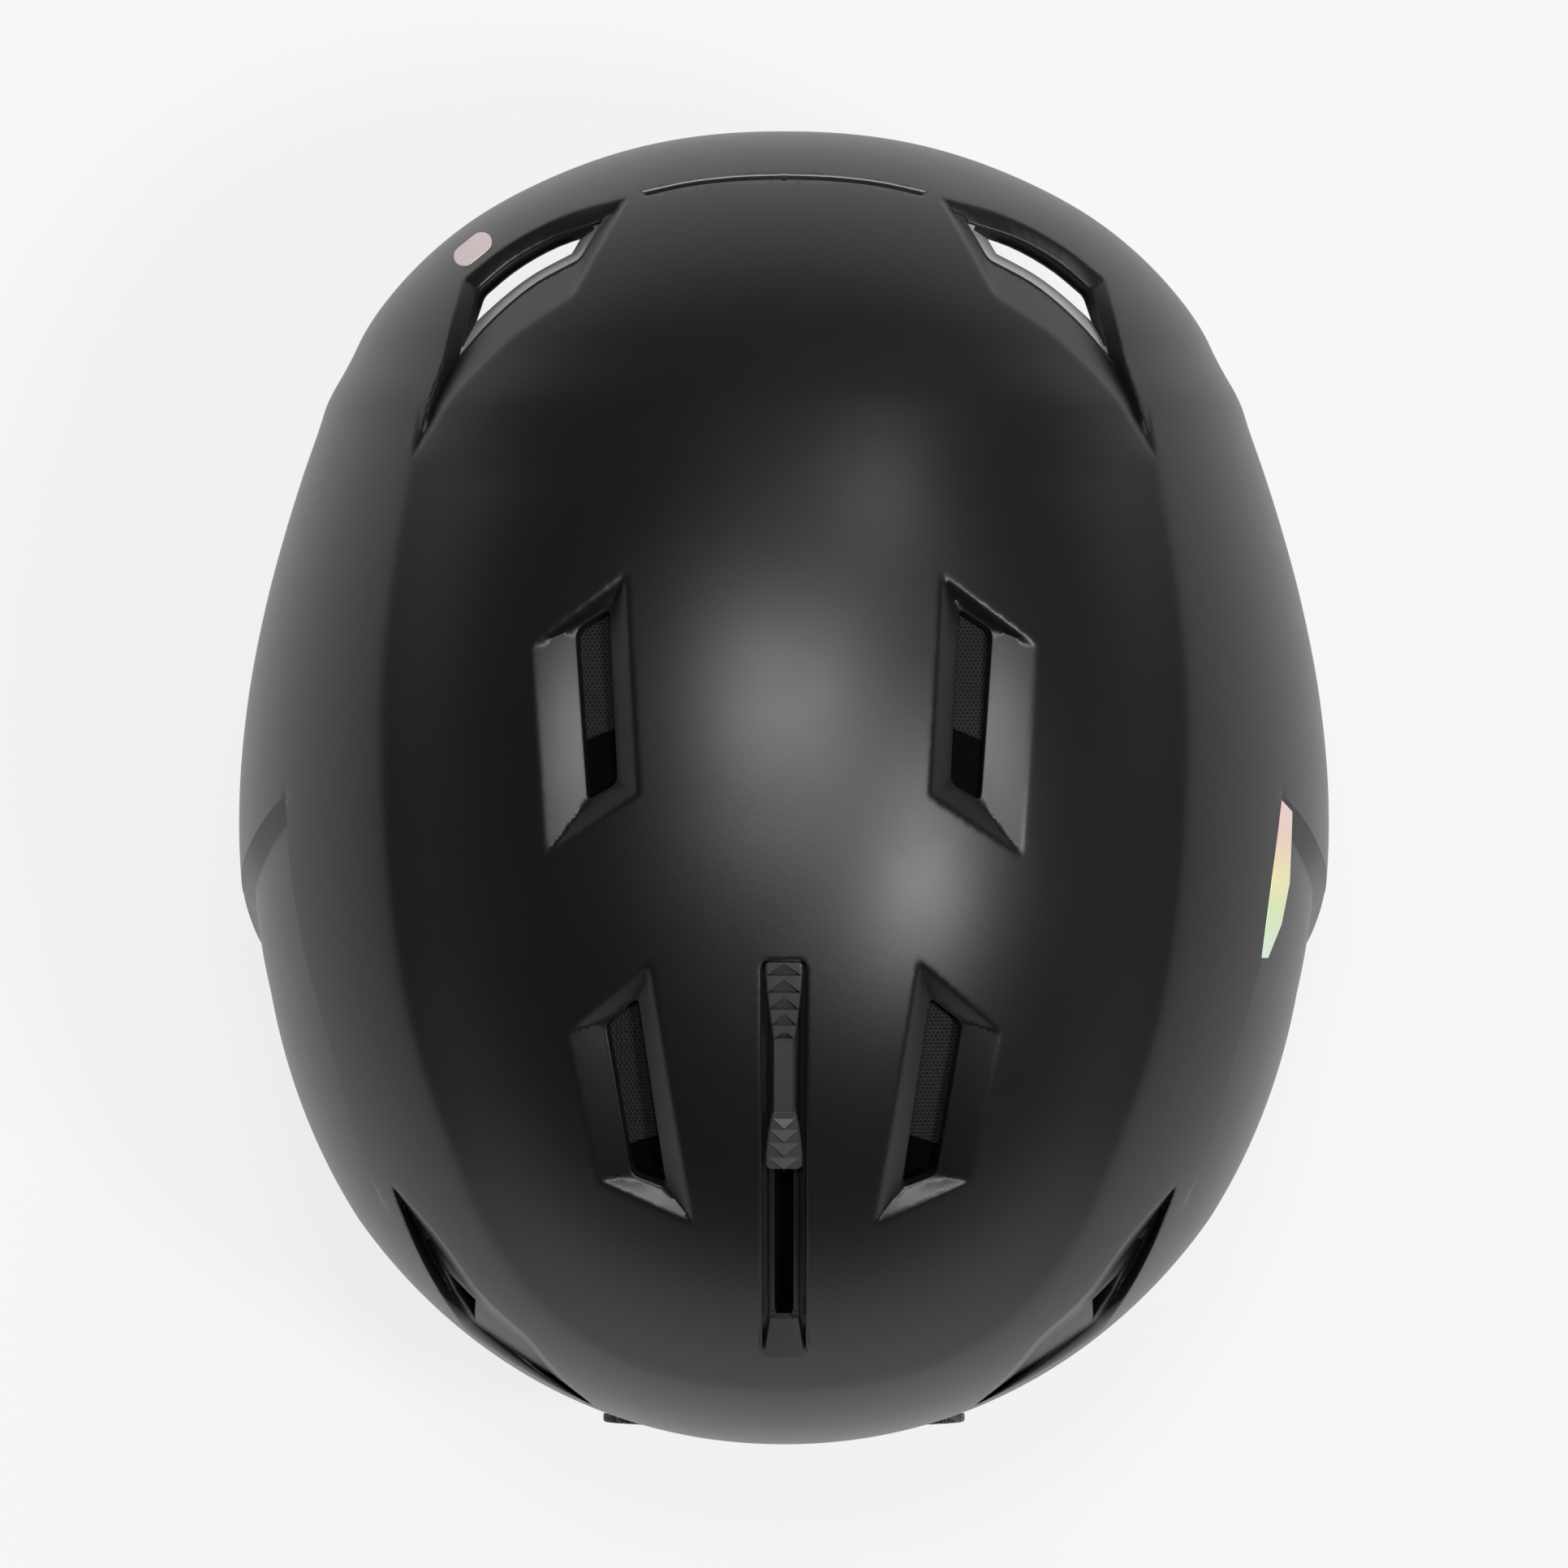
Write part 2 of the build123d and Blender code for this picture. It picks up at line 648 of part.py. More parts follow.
pin_y, pin_z = keeper_pin
keeper_low = pin_z + 3.4
with BuildPart() as keeper_flap:
    extrude(
        keeper_face(keeper_radius - keeper_wall, keeper_radius, keeper_low, keeper_half),
        amount=keeper_high - keeper_low,
    )
    # hem round the pin
    with BuildSketch(Plane.YZ.offset(-24)):
        with Locations(keeper_pin):
            Circle(keeper_hem)
        with BuildLine():
            foot = keeper_low + 1
            Polyline((pin_y - 2, pin_z), (pin_y + 2, pin_z), (138.2, foot), (136.4, foot), close=True)
        make_face()
        with Locations(keeper_pin):
            Circle(1.5, mode=Mode.SUBTRACT)
    extrude(amount=48)
save(keeper_flap, "keeper_flap")

pin_radius = 1.42
with BuildPart() as keeper_pin_rod:
    with BuildSketch(Plane.YZ.offset(-32)):
        with Locations(keeper_pin):
            Circle(pin_radius)
    extrude(amount=64)
save(keeper_pin_rod, "keeper_pin")

base_low = 42
base_wall = 3.2
base_y = 117
with BuildPart() as keeper_base:
    with BuildSketch(Plane.XY.offset(base_low)):
        with Locations((0, base_y)):
            Rectangle(60, 12)
    extrude(amount=base_wall)
    for side in (-1, 1):
        with BuildSketch(Plane.YZ.offset(side * 28 - 3)):
            with BuildLine():
                Polyline(
                    (120, base_low),
                    (120, base_low + base_wall),
                    (126, base_low + base_wall),
                    (pin_y, pin_z + keeper_hem),
                    (pin_y, pin_z - keeper_hem),
                    (125, base_low),
                    close=True,
                )
            make_face()
            with Locations(keeper_pin):
                Circle(keeper_hem)
                Circle(pin_radius, mode=Mode.SUBTRACT)
        extrude(amount=6)
save(keeper_base, "keeper_base")

with BuildPart() as keeper_screws:
    for side in (-1, 1):
        with Locations((side * 18, base_y, base_low - 0.6)):
            Cylinder(3, 1.2)
save(keeper_screws, "keeper_screws")

with BuildPart() as keeper_stud:
    with BuildSketch(Plane.XZ.offset(-stud_base)):
        with Locations((0, snap_height)):
            Circle(3.2)
    extrude(amount=-(keeper_out - keeper_wall - stud_base - 0.35))
save(keeper_stud, "keeper_stud")

with BuildPart() as keeper_cap:
    with BuildSketch(Plane.XZ.offset(-keeper_out)):
        with Locations((0, snap_height)):
            Circle(6)
    extrude(amount=-1.4)
    fillet(keeper_cap.faces().sort_by(Axis.Y)[-1].edges(), 0.6)
save(keeper_cap, "keeper_cap")
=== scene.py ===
import math
from collections import namedtuple

import bmesh
import bpy
import numpy as np
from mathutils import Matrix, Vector
from mathutils.geometry import delaunay_2d_cdt


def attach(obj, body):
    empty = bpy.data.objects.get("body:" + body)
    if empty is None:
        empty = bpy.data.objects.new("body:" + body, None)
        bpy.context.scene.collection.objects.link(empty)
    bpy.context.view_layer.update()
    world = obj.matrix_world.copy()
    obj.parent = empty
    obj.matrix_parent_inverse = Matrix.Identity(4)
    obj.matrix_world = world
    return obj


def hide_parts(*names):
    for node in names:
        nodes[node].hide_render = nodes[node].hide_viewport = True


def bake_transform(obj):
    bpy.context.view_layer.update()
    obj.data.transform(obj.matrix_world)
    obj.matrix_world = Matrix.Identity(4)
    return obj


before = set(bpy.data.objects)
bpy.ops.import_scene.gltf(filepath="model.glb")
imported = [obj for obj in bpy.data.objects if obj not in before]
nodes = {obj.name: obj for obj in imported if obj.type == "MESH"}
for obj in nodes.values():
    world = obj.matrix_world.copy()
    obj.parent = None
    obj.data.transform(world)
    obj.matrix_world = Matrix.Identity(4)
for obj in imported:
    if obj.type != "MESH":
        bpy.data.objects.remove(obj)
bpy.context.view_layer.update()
MM = 0.001


# ------------------------------------------------------------------ materials
LOOK = "look_"


def new_look(name, **settings):
    """A material of the look's own: the frame's materials already hold the plain names.

    Returns it with its tree and its shader, whose inputs take the settings.
    """
    material = bpy.data.materials.new(LOOK + name)
    material.use_nodes = True
    tree = material.node_tree
    shader = tree.nodes["Principled BSDF"]
    for key, value in settings.items():
        feed(tree, shader.inputs[key.replace("_", " ")], value)
    return material, tree, shader


def feed(tree, socket, value):
    """Gives a socket its value: a number, a colour or another node's output."""
    if isinstance(value, bpy.types.NodeSocket):
        tree.links.new(value, socket)
    else:
        socket.default_value = value


def add_node(tree, kind, inputs=(), **attributes):
    node = tree.nodes.new("ShaderNode" + kind)
    for key, value in attributes.items():
        setattr(node, key, value)
    for key, value in dict(inputs).items():
        feed(tree, node.inputs[key], value)
    return node


def maths(tree, operation, *values):
    return add_node(tree, "Math", enumerate(values), operation=operation).outputs[0]


def object_place(tree):
    return add_node(tree, "TexCoord").outputs["Object"]


def noise(tree, scale, detail=4.0):
    inputs = {"Vector": object_place(tree), "Scale": scale, "Detail": detail, "Roughness": 0.55}
    return add_node(tree, "TexNoise", inputs).outputs["Fac"]


def voronoi(tree, scale, feature="F1"):
    inputs = {"Vector": object_place(tree), "Scale": scale}
    return add_node(tree, "TexVoronoi", inputs, feature=feature)


def ramp(tree, value, stops):
    """Turns a value into a colour. A stop's colour can be a number, which stands for a grey."""
    node = add_node(tree, "ValToRGB", {"Fac": value})
    elements = node.color_ramp.elements
    while len(elements) < len(stops):
        elements.new(0.5)
    for element, (position, colour) in zip(elements, stops):
        element.position = position
        element.color = (*colour, 1) if isinstance(colour, tuple) else (colour, colour, colour, 1)
    return node.outputs["Color"]


def bump(tree, shader, height, strength, distance):
    inputs = {"Strength": strength, "Distance": distance, "Height": height}
    feed(tree, shader.inputs["Normal"], add_node(tree, "Bump", inputs).outputs["Normal"])


def plastic(name, low, high, rough, grain=900, grain_depth=0.00003, rough_spread=0.04, gloss=0.5):
    """Moulded plastic: faint colour clouds, a fine grain and slightly uneven gloss."""
    material, tree, shader = new_look(name, Specular_IOR_Level=gloss)
    feed(tree, shader.inputs["Base Color"], ramp(tree, noise(tree, 40), [(0.3, low), (0.7, high)]))
    sheen = [(0.3, rough - rough_spread), (0.7, rough + rough_spread)]
    feed(tree, shader.inputs["Roughness"], ramp(tree, noise(tree, 120), sheen))
    bump(tree, shader, noise(tree, grain, 2), 0.35, grain_depth)
    return material


def iridescent(name):
    """Pearl film whose hue runs along the helmet, from pink through yellow to green."""
    material, tree, shader = new_look(name, Roughness=0.32, Metallic=0.25, Coat_Weight=0.4)
    along = add_node(tree, "SeparateXYZ", {0: object_place(tree)}).outputs["Y"]
    inputs = {"From Min": 0.002, "From Max": 0.036, "Value": along}
    spread = add_node(tree, "MapRange", inputs).outputs["Result"]
    hues = [(0.0, (0.90, 0.66, 0.70)), (0.25, (0.92, 0.66, 0.55)), (0.5, (0.95, 0.86, 0.45)),
            (0.72, (0.72, 0.90, 0.50)), (1.0, (0.74, 0.93, 0.80))]
    feed(tree, shader.inputs["Base Color"], ramp(tree, spread, hues))
    bump(tree, shader, noise(tree, 700, 2), 0.2, 0.00003)
    return material


def thread_waves(tree, pitch):
    """Two crossing sets of threads that show on any face: 0 between threads, 1 on top of one."""
    place = object_place(tree)
    found = []
    for direction in ((0.9, 0.25, 0.75), (-0.45, 1.0, 0.62)):
        node = add_node(tree, "VectorMath", {0: place, 1: direction}, operation="DOT_PRODUCT")
        turns = maths(tree, "MULTIPLY", node.outputs["Value"], math.tau / pitch)
        found.append(maths(tree, "SINE", turns))
    return maths(tree, "MAXIMUM", *found)


def fabric(name, low, high, pitch=0.0009, depth=0.00018, sheen=0.35):
    """Woven or knitted cloth: crossing threads with painted shade between them, uneven dye and a
    soft sheen.
    """
    material, tree, shader = new_look(name, Roughness=0.88, Sheen_Weight=sheen, Sheen_Roughness=0.5)
    threads = thread_waves(tree, pitch)
    # the colour runs from low between the threads to high on their tops: painted shade in the
    # weave's hollows
    inputs = {
        "Factor": 1,
        "A": ramp(tree, threads, [(0.1, low), (0.9, high)]),
        "B": ramp(tree, noise(tree, 35), [(0.3, 0.78), (0.7, 1.0)]),
    }
    mix = add_node(tree, "Mix", inputs, data_type="RGBA", blend_type="MULTIPLY")
    feed(tree, shader.inputs["Base Color"], mix.outputs["Result"])
    bump(tree, shader, threads, 0.6, depth)
    return material


def knit(name):
    """Speckled knit: dark ground and light flecks."""
    material, tree, shader = new_look(name, Roughness=0.85, Sheen_Weight=0.3)
    flecks = ramp(tree, voronoi(tree, 1500).outputs["Color"], [(0.55, 0.012), (0.85, 0.13)])
    feed(tree, shader.inputs["Base Color"], flecks)
    bump(tree, shader, thread_waves(tree, 0.0011), 0.7, 0.0002)
    return material


def webbing(name, low, high):
    """Polyester webbing: fine ribs across it and coarse ones along, by the strap's own measure."""
    material, tree, shader = new_look(name, Roughness=0.7, Sheen_Weight=0.3)
    split = add_node(tree, "SeparateXYZ", {0: add_node(tree, "UVMap").outputs[0]})
    ribs = [maths(tree, "SINE", maths(tree, "MULTIPLY", split.outputs[axis], count * math.tau))
            for axis, count in (("X", 700), ("Y", 9))]
    both = maths(tree, "MULTIPLY_ADD", ribs[0], 0.5, ribs[1])
    # the colour is low in the ribs' troughs and high on their crests: painted shade in the grooves
    feed(tree, shader.inputs["Base Color"], ramp(tree, both, [(0.0, low), (1.0, high)]))
    bump(tree, shader, both, 0.5, 0.00016)
    return material


def foam(name):
    """Expanded beads pressed together."""
    material, tree, shader = new_look(name, Roughness=0.62)
    gap = voronoi(tree, 330, "DISTANCE_TO_EDGE").outputs["Distance"]
    # darker along the beads' edges: painted shade in the grooves between the beads
    feed(tree, shader.inputs["Base Color"], ramp(tree, gap, [(0.0, 0.012), (0.12, 0.035)]))
    bump(tree, shader, ramp(tree, gap, [(0.0, 0.0), (0.25, 1.0)]), 0.5, 0.0002)
    return material


def metal(name, colour, rough=0.3):
    """Brushed or turned metal."""
    material, tree, shader = new_look(name, Metallic=1)
    streak = noise(tree, 260, 3)
    shades = [(0.3, tuple(c * 0.85 for c in colour)), (0.7, colour)]
    feed(tree, shader.inputs["Base Color"], ramp(tree, streak, shades))
    gloss = [(0.2, rough - 0.06), (0.8, rough + 0.1)]
    feed(tree, shader.inputs["Roughness"], ramp(tree, streak, gloss))
    return material


# ------------------------------------------------------------------ camera, floor and light
CAMERA_HEIGHT, VIEW_WIDTH, SENSOR = 4.2, 0.3342, 36
# the level at which the view is VIEW_WIDTH across: half the helmet's height
VIEW_LEVEL = 0.11
# name, place, size and power of each lamp; all are aimed at LIT_PLACE
LIT_PLACE = (0, 0, 0.2)
LAMPS = (
    ("key_front", (0, -0.62, 3.3), 0.55, 36),
    ("key_side", (-1.2, 0.36, 2.9), 0.5, 40),
    ("fill_front", (-0.75, -1.9, 2.4), 0.6, 9),
)


def add_object(name, data):
    made = bpy.data.objects.new(name, data)
    bpy.context.collection.objects.link(made)
    return made


def make_camera():
    data = bpy.data.cameras.new("camera")
    data.sensor_width = SENSOR
    data.lens = SENSOR * (CAMERA_HEIGHT - VIEW_LEVEL) / VIEW_WIDTH
    data.clip_end = 50
    camera = add_object("camera", data)
    camera.location = (0, -0.0008, CAMERA_HEIGHT)
    # looking straight down, with the front of the helmet at the top of the picture
    camera.rotation_euler = (0, 0, math.pi)
    bpy.context.scene.camera = camera


def make_stage():
    bpy.ops.mesh.primitive_plane_add(size=12, location=(0, 0, -0.0005))
    floor = bpy.context.object
    floor.name = "floor"
    paper, _, _ = new_look(
        "floor_paper", Base_Color=(0.12, 0.12, 0.12, 1), Roughness=0.95, Specular_IOR_Level=0.1,
        Emission_Color=(1, 1, 1, 1), Emission_Strength=0.83,
    )
    floor.data.materials.append(paper)
    world = bpy.data.worlds.new("studio")
    world.use_nodes = True
    bpy.context.scene.world = world
    tree = world.node_tree
    split = add_node(tree, "SeparateXYZ", {0: add_node(tree, "TexCoord").outputs["Generated"]})
    glow = ramp(tree, split.outputs["Z"], [(0.0, 0.75), (0.22, 0.06), (0.9, 0.016)])
    feed(tree, tree.nodes["Background"].inputs["Color"], glow)
    for name, place, size, power in LAMPS:
        data = bpy.data.lights.new(name, "AREA")
        data.shape = "DISK"
        data.size = size
        data.energy = power
        lamp = add_object(name, data)
        lamp.location = place
        toward = Vector(LIT_PLACE) - lamp.location
        lamp.rotation_euler = toward.to_track_quat("-Z", "Y").to_euler()
    bpy.context.scene.view_settings.view_transform = "Standard"


# ------------------------------------------------------------------ lines and outlines
def lengths_along(points):
    """The distance run along a line at each of its points."""
    return np.r_[0, np.cumsum(np.linalg.norm(np.diff(points, axis=0), axis=1))]


def curve_value(points, x):
    """Smooth curve through a few points, read at x."""
    xs, ys = np.array(points, float).T
    slopes = np.gradient(ys, xs)
    i = np.clip(np.searchsorted(xs, x) - 1, 0, len(xs) - 2)
    h = xs[i + 1] - xs[i]
    t = np.clip((x - xs[i]) / h, 0, 1)
    a, b = ys[i], ys[i + 1]
    return (
        a * (2 * t**3 - 3 * t**2 + 1)
        + b * (3 * t**2 - 2 * t**3)
        + h * slopes[i] * (t**3 - 2 * t**2 + t)
        + h * slopes[i + 1] * (t**3 - t**2)
    )


def read_along(line, at):
    """Points of the smooth curve through a line's points, at distances along it."""
    lengths = lengths_along(line)
    columns = (line[:, k] for k in range(line.shape[1]))
    return np.stack([curve_value(np.c_[lengths, column], at) for column in columns], 1)


def spline_points(points, step):
    """Points along a smooth curve through a few points, about step apart."""
    points = np.array(points, float)
    length = lengths_along(points)[-1]
    return read_along(points, np.linspace(0, length, max(2, int(length / step) + 1)))


def polygon_points(points, step, is_closed=True):
    """A polygon's sides cut into short steps."""
    made = []
    ends = list(points) + ([points[0]] if is_closed else [])
    for a, b in zip(ends, ends[1:]):
        count = max(1, round(math.dist(a, b) / step))
        made += [tuple(np.array(a) + (np.array(b) - np.array(a)) * k / count) for k in range(count)]
    return np.array(made if is_closed else made + [ends[-1]], float)


def closed(line):
    """An outline with its first point once more at its end."""
    return np.vstack([line, line[:1]])


def arc(centre, radius, first, last, step):
    """Points round a centre, between two angles in degrees."""
    turns = np.radians(np.arange(first, last + math.copysign(1, step), step))
    return [(centre[0] + radius * math.cos(a), centre[1] + radius * math.sin(a)) for a in turns]


def ellipse_loop(centre, across, high, count=40):
    turns = np.linspace(0, math.tau, count + 1)
    return np.stack([centre[0] + across * np.cos(turns), centre[1] + high * np.sin(turns)], 1)


def rounded_loop(points, rounds=3):
    """A closed outline with its corners cut off again and again, so that it runs smoothly."""
    line = np.array(points, float)
    for _ in range(rounds):
        following = np.roll(line, -1, axis=0)
        line = np.stack([line * 0.75 + following * 0.25, line * 0.25 + following * 0.75], 1)
        line = line.reshape(-1, 2)
    return closed(line)


def rounded_corners(ring, reach):
    """A closed outline whose sharp corners are rounded, starting a reach away from each."""
    made = []
    for before, corner, after in zip(np.roll(ring, 1, axis=0), ring, np.roll(ring, -1, axis=0)):
        back, on = before - corner, after - corner
        size = np.linalg.norm(back), np.linalg.norm(on)
        bend = np.dot(back, on) / size[0] / size[1]
        if bend < -0.93:
            made.append(corner)
            continue
        a = corner + back / size[0] * min(reach, size[0] * 0.45)
        b = corner + on / size[1] * min(reach, size[1] * 0.45)
        for t in np.linspace(0, 1, 6):
            made.append((1 - t) ** 2 * a + 2 * t * (1 - t) * corner + t * t * b)
    return np.array(made)


def distance_to(points, line):
    """Signed distance from points to a polyline: positive on its left, looking along it."""
    best = np.full(len(points), 1e9)
    sign = np.ones(len(points))
    for a, b in zip(line, line[1:]):
        along = b - a
        if not along.any():
            continue
        t = np.clip(((points - a) @ along) / (along @ along), 0, 1)
        gap = points - (a + t[:, None] * along)
        d = np.hypot(*gap.T)
        side = along[0] * gap[:, 1] - along[1] * gap[:, 0]
        nearer = d < best
        best[nearer] = d[nearer]
        sign[nearer] = np.where(side[nearer] >= 0, 1, -1)
    return best * sign


def distance_to_ring(points, ring):
    return np.abs(distance_to(points, closed(ring)))


def inside(points, polygon):
    """Which points lie in a polygon."""
    x, y = points.T
    found = np.zeros(len(points), bool)
    for (x0, y0), (x1, y1) in zip(polygon, np.roll(polygon, -1, axis=0)):
        crosses = (y0 > y) != (y1 > y)
        with np.errstate(divide="ignore", invalid="ignore"):
            found ^= crosses & (x < (x1 - x0) * (y - y0) / (y1 - y0) + x0)
    return found


def hex_grid(low, high, step):
    """Points in staggered rows between two corners."""
    rows = np.arange(low[1], high[1], step * 0.866)
    made = []
    for k, height in enumerate(rows):
        across = np.arange(low[0] + (k % 2) * step / 2, high[0], step)
        made.append(np.stack([across, np.full(len(across), height)], 1))
    return np.concatenate(made)


# ------------------------------------------------------------------ the outer shell's shape, in mm
HALF_WIDTH, FRONT_LENGTH, REAR_LENGTH = 116.0, 148.0, 132.0
CENTRE_Y, CENTRE_Z = 8.0, 105.0
CROWN, CHIN = 115.0, 140.0
FRONT_POWER, REAR_POWER, SIDE_POWER = 2.25, 2.05, 2.2
SHELL_WALL = 2.4
# how round the wall's edge is, at the rim and round the openings
RIM_ROUND, OPENING_ROUND = 1.0, 0.45
RIM = [(-150, 92), (-100, 87), (-60, 82), (-35, 82), (0, 86), (24, 80), (42, 64), (58, 51.5),
       (80, 47), (150, 46)]
SLOT_HALF, SLOT_FRONT, SLOT_REAR = 5.2, 35.2, 118.2
CREASE = [(78.5, -69.5), (82.4, -45), (84.4, -19.1), (83.6, 5), (82.3, 22.4), (77.1, 53.5),
          (70.2, 74.3), (64.0, 90.0), (52.9, 106.5), (38.2, 118.5), (20, 125), (0, 127)]
CREASE_DROP, CREASE_REACH, CREASE_SOFT = 1.2, 12.0, 0.8
GROOVE = [(0, -128.4), (10, -128.0), (20, -126.8), (29.6, -124.6)]
GROOVE_HALF, GROOVE_DEPTH = 0.45, 0.8
# the step down to the side's recessed panel, as (height, place along), and the panel's top seam
SCOOP_EDGE = [(60, 38), (74, 34.3), (92, 27), (105, 22.2), (117, 18.2), (135, 12.5), (149, 6.3),
              (160, 1.5)]
SCOOP_BAND, SCOOP_DEPTH = 4.6, 2.6
SEAM = [(0, 160), (30, 163), (58, 163), (74, 157), (90, 150)]
SEAM_DROP = 1.4
# how far the outline stands off the plain rounded body at the widest level, by place along it
BULGE = [(-150, 0), (-131, 0.2), (-119, 1.3), (-106, 1.6), (-98.5, 1.3), (-95.7, 1.0), (-92, 0.35),
         (-88.5, 0.05), (-84, 0.05), (-81.4, -0.1), (-78, -0.7), (-67, -1.6), (-55, -1.9),
         (-40, -1.6), (-18, -0.6), (0, 0.1), (30, 0), (150, 0)]
# sizes of the shell's mesh: steps of loose points on the disc, and of points along cut lines in mm
COARSE, FINE = 0.019, 0.0062
LINE_STEP, SIDE_STEP, SLOT_STEP = 0.8, 3.5, 0.9

Recess = namedtuple("Recess", "sides outline opening depth pierced corner")


def recess(sides, depth, pierced, corner):
    """A recess from its sides, seen from above on the +X side.

    Each side has a line on the surface and one round the opening, which end where the next
    side's begin. depth is the floor's below the surface, and corner how round the opening is.
    """
    sides = [[np.array(line + following[:1], float) for line, following in zip(side, after)]
             for side, after in zip(sides, sides[1:] + sides[:1])]
    made = [], []
    for side in sides:
        whole = lengths_along(side[0])[-1]
        count = 1 if len(side[0]) == 2 else max(2, round(whole / SIDE_STEP))
        for line, points in zip(side, made):
            at = np.linspace(0, lengths_along(line)[-1], count + 1)[:-1]
            points.extend(read_along(line, at))
    return Recess(sides, np.array(made[0]), np.array(made[1]), depth, pierced, corner)


RECESSES = {
    "front_top": recess([
        ([(32.9, -44.4)], [(36.2, -38.0)]),
        ([(52.9, -29.5)], [(43.9, -33.1)]),
        ([(49.8, 14.3)], [(41.3, 3.2)]),
        ([(30.3, 1.4)], [(34.3, -0.7)]),
    ], 3.2, True, 2.0),
    "rear_top": recess([
        ([(28.0, 36.0)], [(30.2, 43.0)]),
        ([(45.4, 50.9)], [(37.7, 48.7)]),
        ([(39.1, 82.3)], [(32.3, 81.4)]),
        ([(19.0, 91.2)], [(24.2, 84.3)]),
    ], 3.2, True, 2.0),
    "front": recess([
        ([(32.4, -124.1), (45.2, -120.4), (57.0, -114.2)],
         [(37.5, -119.1), (49.4, -115.0), (57.6, -110.2)]),
        ([(66.8, -106.7)], [(64.3, -104.6)]),
        ([(71.7, -89.3)], [(68.8, -90.6)]),
        ([(78.5, -69.5), (70.9, -80.2), (57.7, -93.5)],
         [(69.6, -88.7), (61.0, -97.6), (51.9, -105.1)]),
        ([(44.0, -102.6)], [(42.4, -110.3)]),
    ], 4.5, True, 1.6),
    "rear": recess([
        ([(82.6, 83.6), (77.7, 97.1), (73.1, 106.4)], [(79.3, 90.2), (75.6, 97.8), (71.4, 105.8)]),
        ([(67.5, 115.4), (53.9, 124.3)], [(65.6, 113.4), (54.2, 121.6)]),
        ([(39.7, 131.8), (47.7, 124.0)], [(45.5, 127.6), (49.2, 124.4)]),
        ([(53.9, 116.3), (64.4, 106.4), (72.5, 95.2)],
         [(55.0, 117.6), (65.4, 107.7), (73.6, 96.6)]),
    ], 9.0, False, 1.0),
}
REAR_HOLE = [(72.3, 101.2), (70.0, 106.2), (65.5, 113.2), (65.1, 108.4)]


def split_powers(is_front):
    """The body's half length and its plan's power, for its front and its rear half."""
    length = np.where(is_front, FRONT_LENGTH, REAR_LENGTH)
    return length, np.where(is_front, FRONT_POWER, REAR_POWER)


def height_at(x, y):
    """The crown's height over a place seen from above."""
    length, power = split_powers(y < CENTRE_Y)
    plan = np.abs(x / HALF_WIDTH) ** power + np.abs((y - CENTRE_Y) / length) ** power
    level = np.maximum(0, 1 - plan ** (SIDE_POWER / power))
    return CENTRE_Z + CROWN * level ** (1 / SIDE_POWER)


def side_at(y, z):
    """The half width at a place seen from the side."""
    length, power = split_powers(y < CENTRE_Y)
    reach = np.where(z > CENTRE_Z, CROWN, CHIN)
    level = np.maximum(0, 1 - np.abs((z - CENTRE_Z) / reach) ** SIDE_POWER) ** (power / SIDE_POWER)
    rest = np.maximum(0, level - np.abs((y - CENTRE_Y) / length) ** power)
    return HALF_WIDTH * rest ** (1 / power)


def to_disc(x, y, z):
    """Places on the skin as points of a flat disc: centre the crown, radius the polar angle."""
    length, _ = split_powers(y < CENTRE_Y)
    a, b = x / HALF_WIDTH, (y - CENTRE_Y) / length
    c = (z - CENTRE_Z) / np.where(z > CENTRE_Z, CROWN, CHIN)
    plan = np.hypot(a, b)
    angle = np.arctan2(plan, c)
    plan = np.maximum(plan, 1e-9)
    return np.stack([angle * a / plan, angle * b / plan], 1)


def from_disc(uv):
    """Places on the plain rounded body and its outward normals, for points of the disc."""
    u, v = uv[:, 0], uv[:, 1]
    angle = np.maximum(np.hypot(u, v), 1e-9)
    a, b, c = np.sin(angle) * u / angle, np.sin(angle) * v / angle, np.cos(angle)
    length, power = split_powers(v < 0)
    reach = np.where(c > 0, CROWN, CHIN)
    plan = np.abs(a) ** power + np.abs(b) ** power
    size = (plan ** (SIDE_POWER / power) + np.abs(c) ** SIDE_POWER) ** (-1 / SIDE_POWER)
    a, b, c = a * size, b * size, c * size
    place = np.stack([a * HALF_WIDTH, CENTRE_Y + b * length, CENTRE_Z + c * reach], 1)
    plan = np.maximum(np.abs(a) ** power + np.abs(b) ** power, 1e-12)
    outer = plan ** (SIDE_POWER / power - 1)
    normal = np.stack([
        outer * np.sign(a) * np.abs(a) ** (power - 1) / HALF_WIDTH,
        outer * np.sign(b) * np.abs(b) ** (power - 1) / length,
        np.sign(c) * np.abs(c) ** (SIDE_POWER - 1) / reach,
    ], 1)
    return place, normal / np.linalg.norm(normal, axis=1)[:, None]


def plan_to_disc(points):
    x, y = np.array(points, float).T
    return to_disc(x, y, height_at(x, y))


def side_to_disc(y, z):
    return to_disc(side_at(y, z), y, z)


def cross(p, q):
    return p[..., 0] * q[..., 1] - p[..., 1] * q[..., 0]


